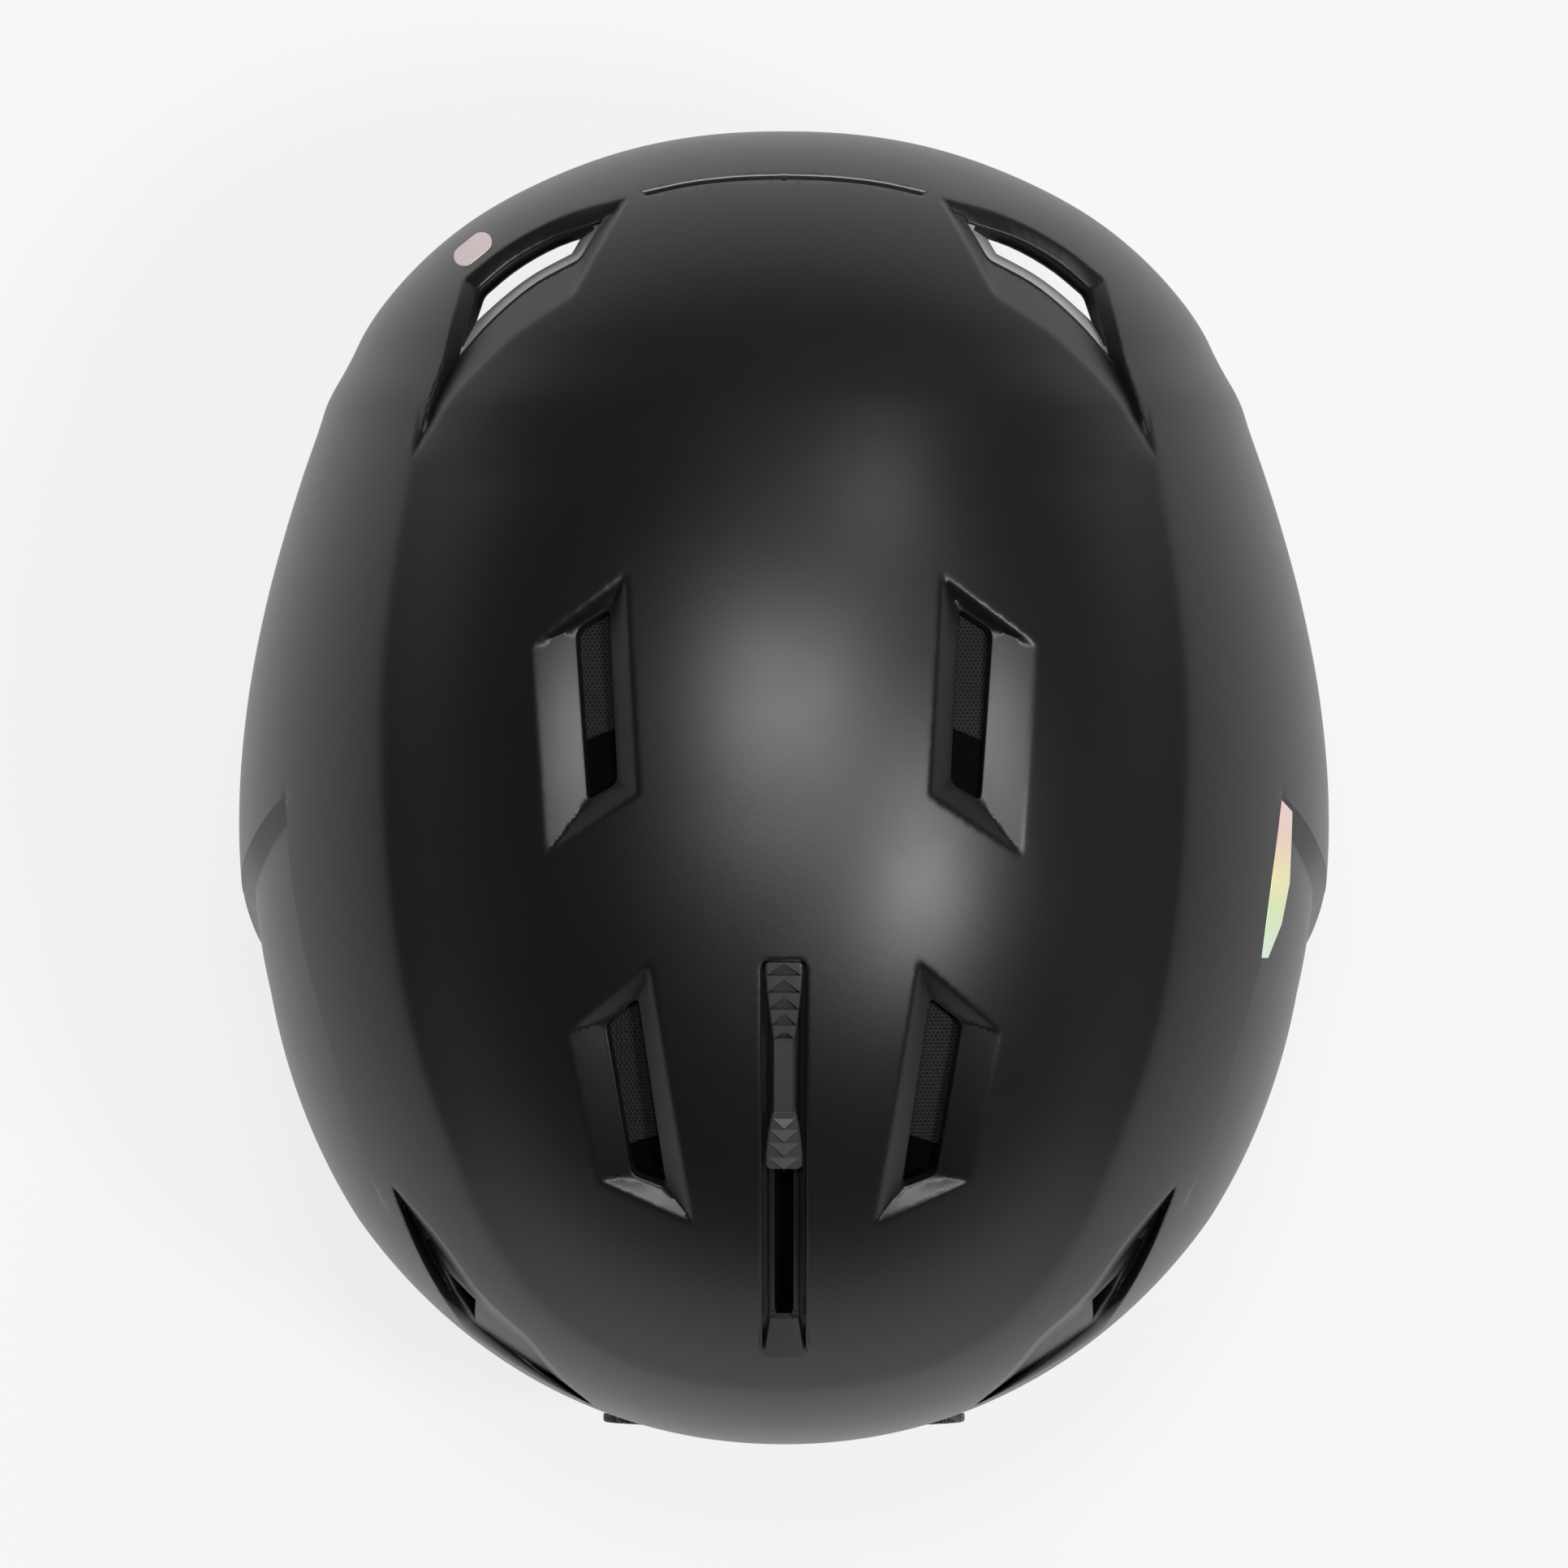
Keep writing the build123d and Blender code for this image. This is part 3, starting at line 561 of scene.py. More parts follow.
def facet_share(points, a, b, c, d):
    """How far across a facet points are, from side ab (0) to side dc (1); nan outside it."""
    e, f, g = b - a, d - a, a - b + c - d
    h = points - a
    k2, k1, k0 = cross(g, f), cross(e, f) + cross(h, g), cross(h, e)
    if abs(k2) < 1e-6:
        roots = [-k0 / k1]
    else:
        under = k1 * k1 - 4 * k0 * k2
        square = np.where(under < 0, np.nan, np.sqrt(np.abs(under)))
        roots = [(-k1 - square) / (2 * k2), (-k1 + square) / (2 * k2)]
    share = np.full(len(points), np.nan)
    for t in roots:
        base = e + g * t[:, None]
        rest = h - f * t[:, None]
        widest = np.abs(base[:, 0]) > np.abs(base[:, 1])
        s = np.where(widest, rest[:, 0], rest[:, 1]) / np.where(widest, base[:, 0], base[:, 1])
        fits = (t > -1e-4) & (t < 1.0001) & (s > -1e-4) & (s < 1.0001)
        share = np.where(fits & np.isnan(share), t, share)
    return share


def recess_depth(plan, upper):
    """How deep each place lies in a recess, straight down."""
    depth = np.zeros(len(plan))
    for hollow in RECESSES.values():
        outer, inner = closed(hollow.outline), closed(hollow.opening)
        for k in range(len(hollow.outline)):
            share = facet_share(plan, outer[k], outer[k + 1], inner[k + 1], inner[k])
            depth = np.where(upper & ~np.isnan(share), hollow.depth * np.nan_to_num(share), depth)
        floor = upper & inside(plan, hollow.opening) & (depth == 0)
        depth = np.where(floor, hollow.depth, depth)
    return depth


def shell_surface(uv, panel=True):
    """The +X half's outer surface for points of the disc, with its normals and wall directions.

    With no panel, the side is left whole, as if the recess behind its step were filled.
    """
    base, normal = from_disc(uv)
    x, y, z = base.T
    plan = base[:, :2]
    upper = z > CENTRE_Z
    level = np.sin(np.minimum(np.hypot(*uv.T), 2.2))
    out = curve_value(BULGE, y) * np.clip(level, 0, 1) ** 4
    # the crown's soft crease: the side falls away just outside it
    gap = distance_to(plan, spline_points(CREASE, 4))
    gap = 0.5 * (gap + np.sqrt(gap**2 + CREASE_SOFT**2))
    strength = np.interp(y, (-80, -66, 60, 127), (0, 1, 1, 0.7))
    far = np.where(upper, gap, 60) / CREASE_REACH
    out -= CREASE_DROP * strength * far * np.exp(1 - far)
    # the recessed panel behind the side step
    step = np.clip((y - curve_value(SCOOP_EDGE, z)) / SCOOP_BAND, 0, 1)
    under = np.clip((curve_value(SEAM, y) - z) / SEAM_DROP, 0, 1)
    side_on = panel & (x > 60) & (y > -5) & (y < 100)
    deep = np.interp(y, (0, 44, 92), (SCOOP_DEPTH, SCOOP_DEPTH, 0))
    out -= np.where(side_on, np.minimum(step, under), 0) * deep
    # parting groove over the brow
    line = [(-x0, y0) for x0, y0 in GROOVE[:0:-1]] + GROOVE
    groove = np.clip(1 - np.abs(distance_to(plan, spline_points(line, 1.0))) / GROOVE_HALF, 0, 1)
    out -= np.where(upper & (x < GROOVE[-1][0]), GROOVE_DEPTH * groove, 0)
    place = base + normal * out[:, None]
    place[:, 2] -= recess_depth(plan, upper)
    # walls go straight down at the brow vents and square to the surface elsewhere
    brow = RECESSES["front"].outline
    near = np.where(inside(plan, brow), 0, distance_to_ring(plan, brow))
    weight = np.where(upper, np.clip(1 - near / 12, 0, 1), 0)[:, None]
    wall = -normal * (1 - weight) + np.array([0, 0, -1.0]) * weight
    return place, normal, wall / np.linalg.norm(wall, axis=1)[:, None]


# ------------------------------------------------------------------ meshes
def mesh_piece(name, spots, faces, material, scale=MM, sharp=40):
    """A smooth mesh object from points and faces, shaded sharply above an angle in degrees."""
    mesh = bpy.data.meshes.new(name)
    faces = [tuple(map(int, face)) for face in faces]
    mesh.from_pydata([tuple(p) for p in np.asarray(spots) * scale], [], faces)
    mesh.update()
    mesh.polygons.foreach_set("use_smooth", [True] * len(mesh.polygons))
    if sharp:
        mesh.set_sharp_from_angle(angle=math.radians(sharp))
    mesh.materials.append(material)
    return add_object(name, mesh)


def edit_mesh(mesh, action):
    """Runs an action on a mesh as bmesh."""
    work = bmesh.new()
    work.from_mesh(mesh)
    action(work)
    work.to_mesh(mesh)
    work.free()


def turn_outward(work):
    bmesh.ops.recalc_face_normals(work, faces=work.faces)


def drop_loose(work):
    bmesh.ops.delete(work, geom=[v for v in work.verts if not v.link_faces], context="VERTS")


def settle(piece):
    """Applies a piece's modifiers to its mesh."""
    shaped = piece.evaluated_get(bpy.context.evaluated_depsgraph_get())
    mesh = bpy.data.meshes.new_from_object(shaped)
    piece.modifiers.clear()
    piece.data = mesh


def loft(rows, count):
    """Faces that join rings of count points each, then the cap of the first ring and the last's."""
    faces = []
    for low in range(0, (rows - 1) * count, count):
        for j in range(count):
            n = (j + 1) % count
            faces.append((low + j, low + n, low + count + n, low + count + j))
    return faces + [tuple(range(count))[::-1], tuple((rows - 1) * count + j for j in range(count))]


def joined(parts):
    """One set of points and faces from several."""
    spots, faces, start = [], [], 0
    for points, found in parts:
        spots.append(points)
        faces += [tuple(start + v for v in face) for face in found]
        start += len(points)
    return np.concatenate(spots), faces


def face_edges(faces):
    return np.concatenate([faces[:, [0, 1]], faces[:, [1, 2]], faces[:, [2, 0]]])


def border_edges(faces):
    """Edges with one face, each in its face's own direction."""
    edges = face_edges(faces)
    keys = np.sort(edges, axis=1)
    _, first, count = np.unique(keys, axis=0, return_index=True, return_counts=True)
    return edges[first[count == 1]]


def facing(places, faces, normals):
    """Triangles wound so that, on the whole, they face along their points' normals."""
    a, b, c = (places[faces[:, k]] for k in range(3))
    agree = np.einsum("ij,ij->i", np.cross(b - a, c - a), normals[faces[:, 0]])
    return faces[:, ::-1] if np.mean(agree) < 0 else faces


def smooth_near(places, faces, mask, rounds):
    """Relaxes the masked points towards their neighbours' mean."""
    edges = np.unique(np.sort(face_edges(faces), axis=1), axis=0)
    count = np.zeros(len(places))
    for k in (0, 1):
        np.add.at(count, edges[:, k], 1)
    for _ in range(rounds):
        total = np.zeros_like(places)
        np.add.at(total, edges[:, 0], places[edges[:, 1]])
        np.add.at(total, edges[:, 1], places[edges[:, 0]])
        mean = total / np.maximum(count, 1)[:, None]
        places = np.where(mask[:, None], places * 0.5 + mean * 0.5, places)
    return places


def sheet_solid(places, wall, faces, thickness, radius):
    """Gives a surface its wall: an inner sheet and a rounded edge round every border."""
    edges = border_edges(faces)
    tangent = np.zeros_like(places)
    along = places[edges[:, 1]] - places[edges[:, 0]]
    outward = np.cross(along, -wall[edges[:, 0]])
    outward /= np.maximum(np.linalg.norm(outward, axis=1), 1e-9)[:, None]
    for k in (0, 1):
        np.add.at(tangent, edges[:, k], outward)
    ring = np.unique(edges)
    tangent[ring] /= np.maximum(np.linalg.norm(tangent[ring], axis=1), 1e-9)[:, None]
    inner = places + wall * thickness
    spots = [places, inner]
    r = radius[ring][:, None]
    for a in np.radians([30, 60, 90]):
        sideways, down = tangent[ring] * r * math.sin(a), wall[ring] * r * (1 - math.cos(a))
        spots.append(places[ring] + sideways + down)
    spots.append(inner[ring] + tangent[ring] * r)
    first = 2 * len(places)
    added = [first + k * len(ring) + np.arange(len(ring)) for k in range(4)]
    rows = [ring, *added, len(places) + ring]
    where = np.zeros(len(places), int)
    where[ring] = np.arange(len(ring))
    a, b = where[edges[:, 0]], where[edges[:, 1]]
    quads = [np.stack([up[b], up[a], down[a], down[b]], 1) for up, down in zip(rows, rows[1:])]
    blocks = [faces, (faces + len(places))[:, ::-1], *quads]
    return np.concatenate(spots), [face for block in blocks for face in block]


def filled_outline(ring, step, clear):
    """Triangles that fill an outline: loose points stand step apart and clear of the outline."""
    inner = hex_grid(ring.min(0), ring.max(0), step)
    inner = inner[inside(inner, ring) & (distance_to_ring(inner, ring) > clear)]
    count = len(ring)
    sides = [(k, (k + 1) % count) for k in range(count)]
    every = [Vector(p) for p in np.concatenate([ring, inner])]
    found = delaunay_2d_cdt(every, sides, [], 0, 1e-6)
    flat = np.array([tuple(p) for p in found[0]])
    faces = np.array(found[2])
    return flat, faces[inside(flat[faces].mean(1), ring)]


# ------------------------------------------------------------------ the outer shell
def rim_disc(count):
    """The lower rim on the +X side, from the rear to the front, as points of the disc."""
    made = []
    for turn in np.linspace(0, math.pi, count):
        low, high = 0.6, 2.6
        for _ in range(36):
            middle = (low + high) / 2
            place, _ = from_disc(np.array([[middle * math.sin(turn), middle * math.cos(turn)]]))
            if place[0, 2] > curve_value(RIM, place[0, 1]):
                low = middle
            else:
                high = middle
        made.append((low * math.sin(turn), low * math.cos(turn)))
    made = np.array(made)
    made[[0, -1], 0] = 0
    return made


def cut_lines():
    """Every line that the shell's mesh has to follow on the disc's +X half.

    Returns the half's border, the lines' points, their edges, the holes and the fine areas.
    """
    points, edges = [], []

    def add_line(uv, is_closed=False):
        start = sum(len(p) for p in points)
        count = len(uv)
        points.append(uv)
        edges.extend((start + k, start + k + 1) for k in range(count - 1))
        if is_closed:
            edges.append((start + count - 1, start))

    rim = rim_disc(260)
    heights = np.linspace(rim[-1, 1], rim[0, 1], 222)[1:-1]
    border = np.concatenate([rim, np.stack([np.zeros(220), heights], 1)])
    add_line(border, is_closed=True)
    slot = [(0, SLOT_FRONT), (SLOT_HALF - 2.2, SLOT_FRONT), (SLOT_HALF - 0.65, SLOT_FRONT + 0.65),
            (SLOT_HALF, SLOT_FRONT + 2.2), (SLOT_HALF, SLOT_REAR - 0.8),
            (SLOT_HALF - 0.8, SLOT_REAR), (0, SLOT_REAR)]
    holes = []
    for hollow in RECESSES.values():
        opening = hollow.opening
        if hollow.pierced:
            opening = rounded_corners(opening, hollow.corner)
            holes.append(opening)
        for line in (hollow.outline, opening):
            add_line(plan_to_disc(polygon_points(line, LINE_STEP)), is_closed=True)
    for hollow in RECESSES.values():
        for outer, inner in hollow.sides:
            corner = polygon_points([outer[0], inner[0]], LINE_STEP, is_closed=False)
            add_line(plan_to_disc(corner[1:-2]))
    add_line(plan_to_disc(polygon_points(REAR_HOLE, LINE_STEP)), is_closed=True)
    add_line(plan_to_disc(polygon_points(slot, SLOT_STEP, is_closed=False)))
    holes += [np.array(REAR_HOLE), np.array(slot)]
    z = np.linspace(60, 159, 80)
    y = curve_value(SCOOP_EDGE, z)
    add_line(side_to_disc(y, z))
    add_line(side_to_disc(y + SCOOP_BAND, z))
    y = np.linspace(3, 86, 80)
    seam = curve_value(SEAM, y)
    add_line(side_to_disc(y, seam))
    add_line(side_to_disc(y, seam - SEAM_DROP))
    for shift in (-GROOVE_HALF, 0, GROOVE_HALF):
        add_line(plan_to_disc(spline_points(GROOVE, LINE_STEP)[1:] + (0, shift)))
    fine_areas = [hollow.outline for hollow in RECESSES.values()] + [np.array(slot)]
    return border, np.concatenate(points), edges, holes, fine_areas


def loose_points(border, fine_areas):
    """Points between the lines: fine round the recesses and by the crease, coarse elsewhere."""
    keep = []
    for low, high, step, is_fine in (((COARSE / 2, -2.3), (2.2, 2.3), COARSE, False),
                                     ((FINE / 2, -1.5), (1.4, 1.5), FINE, True)):
        grid = hex_grid(low, high, step)
        grid = grid[inside(grid, border)]
        place, _ = from_disc(grid)
        plan = place[:, :2]
        near = np.zeros(len(grid), bool)
        for area in fine_areas:
            near |= inside(plan, area) | (distance_to_ring(plan, area) < 2.0)
        near &= place[:, 2] > CENTRE_Z
        if is_fine:
            by_crease = np.abs(distance_to(plan, spline_points(CREASE, 5))) < 3.0
            every_other = np.arange(len(grid)) % 2 == 0
            near |= (place[:, 2] > CENTRE_Z) & by_crease & every_other
        keep.append(grid[near == is_fine])
    return np.concatenate(keep)


def clear_of(lines, loose):
    """The loose points that aren't so near a line's point that they would make slivers."""
    def cell(p):
        return int(p[0] / FINE), int((p[1] + 3) / FINE)

    cells = {}
    for p in lines:
        cells.setdefault(cell(p), []).append(p)
    clear = []
    for p in loose:
        i, j = cell(p)
        close = [q for di in (-1, 0, 1) for dj in (-1, 0, 1)
                 for q in cells.get((i + di, j + dj), ())]
        clear.append(all(abs(q[0] - p[0]) + abs(q[1] - p[1]) > FINE * 0.55 for q in close))
    return loose[np.array(clear)]


def shell_mesh():
    """Triangulates the +X half of the disc round every line, leaving out the holes."""
    border, lines, edges, holes, fine_areas = cut_lines()
    every = np.concatenate([lines, clear_of(lines, loose_points(border, fine_areas))])
    made = delaunay_2d_cdt([Vector(p) for p in every], edges, [], 0, 1e-7)
    uv = np.array([tuple(p) for p in made[0]])
    faces = np.array([f for f in made[2] if len(f) == 3])
    centre = uv[faces].mean(1)
    place, _ = from_disc(centre)
    keep = inside(centre, border)
    upper = place[:, 2] > CENTRE_Z
    for hole in holes:
        keep &= ~(upper & inside(place[:, :2], hole))
    return uv, faces[keep]


def side_lines(base):
    """Which of the shell's points lie on the side panel's edges, where its faces meet sharply."""
    x, y, z = base.T
    step = y - curve_value(SCOOP_EDGE, z)
    seam = curve_value(SEAM, y) - z
    panel = (x > 60) & (y > 0) & (y < 86) & (z > 60)
    on_step = (np.abs(step) < 0.15) | (np.abs(step - SCOOP_BAND) < 0.15)
    on_seam = (np.abs(seam) < 0.15) | (np.abs(seam - SEAM_DROP) < 0.15)
    return panel & ((on_step & (seam > -0.2)) | (on_seam & (step > -0.2)))


def crease_edges(piece, flags):
    """Shades a mesh sharply along the edges that join two flagged points."""
    mesh = piece.data
    ends = np.empty(2 * len(mesh.edges), int)
    mesh.edges.foreach_get("vertices", ends)
    every = np.zeros(len(mesh.vertices), bool)
    every[: len(flags)] = flags
    sharp = (mesh.attributes.get("sharp_edge")
             or mesh.attributes.new("sharp_edge", "BOOLEAN", "EDGE"))
    now = np.empty(len(mesh.edges), bool)
    sharp.data.foreach_get("value", now)
    sharp.data.foreach_set("value", now | every[ends.reshape(-1, 2)].all(1))


def make_shell(material):
    uv, faces = shell_mesh()
    places, _, wall = shell_surface(uv)
    base, _ = from_disc(uv)
    near = np.zeros(len(places), bool)
    for hollow in RECESSES.values():
        for line in (hollow.outline, hollow.opening):
            near |= distance_to_ring(base[:, :2], line) < 0.9
    near &= base[:, 2] > CENTRE_Z
    near[np.unique(border_edges(faces))] = False
    places = smooth_near(places, faces, near, 2)
    # the other half, sharing the points on the middle line
    off_middle = np.abs(uv[:, 0]) >= 1e-6
    partner = np.arange(len(uv))
    partner[off_middle] = len(uv) + np.arange(off_middle.sum())
    flip = np.array([-1.0, 1.0, 1.0])
    places = np.concatenate([places, places[off_middle] * flip])
    wall = np.concatenate([wall, wall[off_middle] * flip])
    faces = facing(places, np.concatenate([faces, partner[faces][:, ::-1]]), -wall)
    radius = np.where(places[:, 2] < 100, RIM_ROUND, OPENING_ROUND)
    spots, faces = sheet_solid(places, wall, faces, SHELL_WALL, radius)
    shell = mesh_piece("shell", spots, faces, material, sharp=48)
    crisp = side_lines(base)
    crease_edges(shell, np.concatenate([crisp, crisp[off_middle]]))
    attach(shell, "helmet")
    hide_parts("outer_shell")


# ------------------------------------------------------------------ slider, track and vents' net
# the axis that the shutter turns about; radii below are from it
SHUTTER_Y, SHUTTER_Z = 4.0, 54.0
KNOB_BASE, KNOB_TOP, KNOB_MIDDLE = 163.4, 166.9, 167.0
# (place along the helmet, half width) down the slider's outline
KNOB_WIDTHS = [(36.3, 3.4), (36.8, 3.9), (39.0, 3.9), (42.5, 3.6), (46.0, 3.2), (49.3, 2.75),
               (52.3, 2.3), (67.6, 2.3), (68.8, 2.75), (71.3, 3.25), (73.9, 3.6), (77.0, 3.9),
               (78.9, 3.9), (79.4, 3.3)]
KNOB_ROWS, KNOB_COLUMNS = 300, 49
WAIST_FRONT, WAIST_REAR, WAIST_SINK, WAIST_RAIL = 51.8, 68.2, 0.9, 0.3
# serrations: where the tip lies, where the base lies, and the half width of the base
FRONT_TEETH = [(36.6, 39.0, 3.6), (40.0, 42.6, 3.4), (43.5, 46.0, 3.0), (47.0, 49.3, 2.5),
               (50.6, 52.2, 2.0)]
REAR_TEETH = [(70.8, 68.8, 2.5), (73.7, 71.2, 3.1), (76.6, 73.9, 3.4), (79.3, 77.0, 3.7)]
TOOTH_RISE, TOOTH_SINK, TOOTH_TIP = 0.9, 1.4, 0.25
STEM_HALF, STEM_LOW, STEM_TURN = 1.4, 160.9, (13.2, 24.8)
# the painted shade strip under the slot runs between these angles about the shutter's axis, in
# degrees
SLOT_SHADE_TURN = (26, 43.5)
# (half width, radius) across the shutter's plate
PLATE_PROFILE = [(0, 160.6), (20, 159.4), (30, 157.6), (40, 155.0), (52, 150.5)]
NET_DROP, NET_PITCH, NET_THREAD = 0.95, 0.9, 0.27
NET_WINDOWS = [[(32.4, -40.5), (44.6, -34.5), (43.4, -9.0), (32.6, -13.4)],
               [(27.4, 41.5), (38.6, 47.0), (34.4, 75.0), (23.6, 71.5)]]


def wrapped(x, turn, radius):
    """A place given by its side, its angle about the shutter's axis and its radius."""
    return np.stack([x, SHUTTER_Y + radius * np.sin(turn), SHUTTER_Z + radius * np.cos(turn)], -1)


def turn_at(y, radius):
    """The angle about the shutter's axis at which a radius stands over a place."""
    return math.asin((y - SHUTTER_Y) / radius)


def wrapped_bar(section, start, end, steps=24, end_section=None):
    """A bar that follows the crown: its section as (side, radius) points, between two angles."""
    first = np.array(section, float)
    last = first if end_section is None else np.array(end_section, float)
    spots = []
    for share in np.linspace(0, 1, steps + 1):
        outline = first * (1 - share) + last * share
        turn = np.full(len(first), start + (end - start) * share)
        spots.append(wrapped(outline[:, 0], turn, outline[:, 1]))
    return np.concatenate(spots), loft(steps + 1, len(first))


def soft_section(low_x, high_x, low_r, high_r, round_by=0.35):
    """Rectangular section with its two outer corners rounded."""
    made = [(low_x, low_r), (high_x, low_r)]
    for x, first in ((high_x - round_by, 0), (low_x + round_by, 90)):
        made += arc((x, high_r - round_by), round_by, first, first + 90, 30)
    return made


def side_section(side, near, far, *rest):
    """The same section, between two distances from the middle, on one side."""
    return soft_section(*sorted((side * near, side * far)), *rest)


def finish_bar(name, bar, material, body, sharp):
    piece = mesh_piece(name, *bar, material, sharp=sharp)
    edit_mesh(piece.data, turn_outward)
    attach(piece, body)
    return piece


def knob_height(x, y):
    """Height of the slider's top over its base. Each tooth's face climbs towards the rear."""
    half = np.interp(y, *np.array(KNOB_WIDTHS).T)
    edge = np.clip((half - np.abs(x)) / 0.5, 0, 1)
    top = KNOB_TOP - KNOB_BASE - 0.45 * (1 - edge) ** 2
    waist = np.clip(y - WAIST_FRONT, 0, 1) * np.clip(5 * (WAIST_REAR - y), 0, 1)
    top += waist * (WAIST_RAIL * np.clip((np.abs(x) - 1.8) / 0.2, 0, 1) - WAIST_SINK)
    for tip, base, wide in FRONT_TEETH:
        share = (y - tip) / (base - tip)
        within = (share > 0) & (share < 1) & (np.abs(x) < wide * share)
        top = np.where(within, top - TOOTH_TIP - (TOOTH_SINK - TOOTH_TIP) * share, top)
    for tip, base, wide in REAR_TEETH:
        share = (y - base) / (tip - base)
        within = (share > 0) & (share < 1) & (np.abs(x) < wide * (1 - share))
        top = np.where(within, top + TOOTH_RISE * share, top)
    return top


def make_knob(material):
    rows, columns = KNOB_ROWS, KNOB_COLUMNS
    along = np.linspace(KNOB_WIDTHS[0][0], KNOB_WIDTHS[-1][0], rows)
    half = np.interp(along, *np.array(KNOB_WIDTHS).T)
    x = half[:, None] * np.linspace(-1, 1, columns)
    y = np.repeat(along[:, None], columns, 1)
    turn = np.arcsin((y - SHUTTER_Y) / KNOB_MIDDLE)
    top = wrapped(x, turn, KNOB_BASE + knob_height(x, y)).reshape(-1, 3)
    low = wrapped(x, turn, np.full(x.shape, KNOB_BASE)).reshape(-1, 3)
    count = rows * columns
    faces = []
    for j in range(rows - 1):
        for a in range(j * columns, (j + 1) * columns - 1):
            quad = (a, a + 1, a + columns + 1, a + columns)
            faces += [quad, tuple(count + k for k in (quad[0], *quad[:0:-1]))]
    grid = np.arange(count).reshape(rows, columns)
    edge = [*grid[0], *grid[1:, -1], *grid[-1, -2::-1], *grid[-2:0:-1, 0]]
    faces += [(b, a, count + a, count + b) for a, b in zip(edge, edge[1:] + edge[:1])]
    stem = [(-STEM_HALF, STEM_LOW), (STEM_HALF, STEM_LOW),
            (STEM_HALF, KNOB_BASE + 0.3), (-STEM_HALF, KNOB_BASE + 0.3)]
    parts = [(np.concatenate([top, low]), faces), wrapped_bar(stem, *np.radians(STEM_TURN))]
    knob = finish_bar("slider_grip", joined(parts), material, "vents", 22)
    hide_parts("slider_knob")


def make_track(material, ramp_material, slot_shade_material):
    first, last = turn_at(35.4, 165), turn_at(117.8, 165)
    groove_end, hook = turn_at(109.5, 163), turn_at(109.6, 164)
    ramp_start, ramp_end = turn_at(111.6, 164), turn_at(117.6, 164)
    sides = (-1, 1)
    # ledges, walls and the groove's rails, then the hooks that keep the slider in the track
    ledge = ((1.9, 161.7), (9.0, 161.7), (9.0, 162.3), (1.9, 162.3))
    parts = [wrapped_bar([(side * a, r) for a, r in ledge], first, last, 60) for side in sides]
    parts += [wrapped_bar(side_section(side, 4.55, 5.05, 162.2, 165.9, 0.2), first, last, 60)
              for side in sides]
    parts += [wrapped_bar(side_section(side, 1.9, 3.3, 162.2, 163.1, 0.3), first, groove_end, 60)
              for side in sides]
    for side in sides:
        inner = side_section(side, 1.6, 3.3, 162.2, 163.2, 0.3)
        outer = side_section(side, 4.1, 4.6, 162.2, 165.2, 0.2)
        parts.append(wrapped_bar(inner, groove_end, ramp_start, 3))
        parts.append(wrapped_bar(outer, hook, ramp_start, 3))
    front_wall = soft_section(-4.5, 4.5, 161.8, 165.9, 0.2)
    parts.append(wrapped_bar(front_wall, first - 0.001, first + 0.0022, 2))
    track = finish_bar("slot_track", joined(parts), material, "helmet", 35)
    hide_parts("slider_track")
    # the ramp that closes the track, and a dark strip on the pocket's floor, seen through the slot:
    # painted shade that keeps the groove black
    ramp_bar = wrapped_bar(soft_section(-3.0, 3.0, 161.8, 163.6, 0.3), ramp_start, ramp_end, 10,
                           soft_section(-4.25, 4.25, 161.8, 166.6, 0.3))
    finish_bar("slot_ramp", ramp_bar, ramp_material, "helmet", 30)
    strip = wrapped_bar(soft_section(-2.8, 2.8, 157.1, 157.7, 0.2), *np.radians(SLOT_SHADE_TURN), 30)
    finish_bar("slot_shade_strip", strip, slot_shade_material, "helmet", 35)


def net_cells(low, high, mirror, spots):
    """Adds a rectangle of hexagons to the points and returns their faces."""
    corners, faces = {}, []
    row, y = 0, low[1]
    while y < high[1]:
        x = low[0] + (row % 2) * NET_PITCH / 2
        while x < high[0]:
            ring = []
            for turn in range(30, 360, 60):
                a = math.radians(turn)
                reach = NET_PITCH / math.sqrt(3)
                corner = (x + reach * math.cos(a), y + reach * math.sin(a))
                key = (round(corner[0], 2), round(corner[1], 2))
                if key not in corners:
                    corners[key] = len(spots)
                    spots.append((mirror * corner[0], corner[1]))
                ring.append(corners[key])
            if len(set(ring)) == 6:
                faces.append(tuple(ring[::mirror]))
            x += NET_PITCH
        y += NET_PITCH * math.sqrt(3) / 2
        row += 1
    return faces


def make_vent_mesh(material):
    """A net of fine cells under the shutter's windows, sagging with the crown."""
    spots, faces = [], []
    for window in NET_WINDOWS:
        area = np.array(window)
        for mirror in (1, -1):
            faces += net_cells(area.min(0) - 1.5, area.max(0) + 1.5, mirror, spots)
    x, y = np.array(spots).T
    radius = curve_value(PLATE_PROFILE, np.abs(x)) - NET_DROP
    turn = np.arcsin(np.clip((y - SHUTTER_Y) / radius, -1, 1))
    net = mesh_piece("vent_net", wrapped(x, turn, radius), faces, material, sharp=0)
    threads = net.modifiers.new("threads", "WIREFRAME")
    threads.thickness = NET_THREAD * MM
    threads.use_even_offset = False
    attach(net, "vents")


# ------------------------------------------------------------------ ducts under the brow vents
DUCT_STEPS, DUCT_DROP = 9, 15.0
# where a duct starts below the shell's surface, how far its front and rear walls come in, how far
# it hides behind the opening's edge, and over what distance the two walls blend
DUCT_TOP, DUCT_FRONT, DUCT_REAR, DUCT_HIDE, DUCT_BLEND = 6.5, 1.5, 3.6, 0.7, 2.0


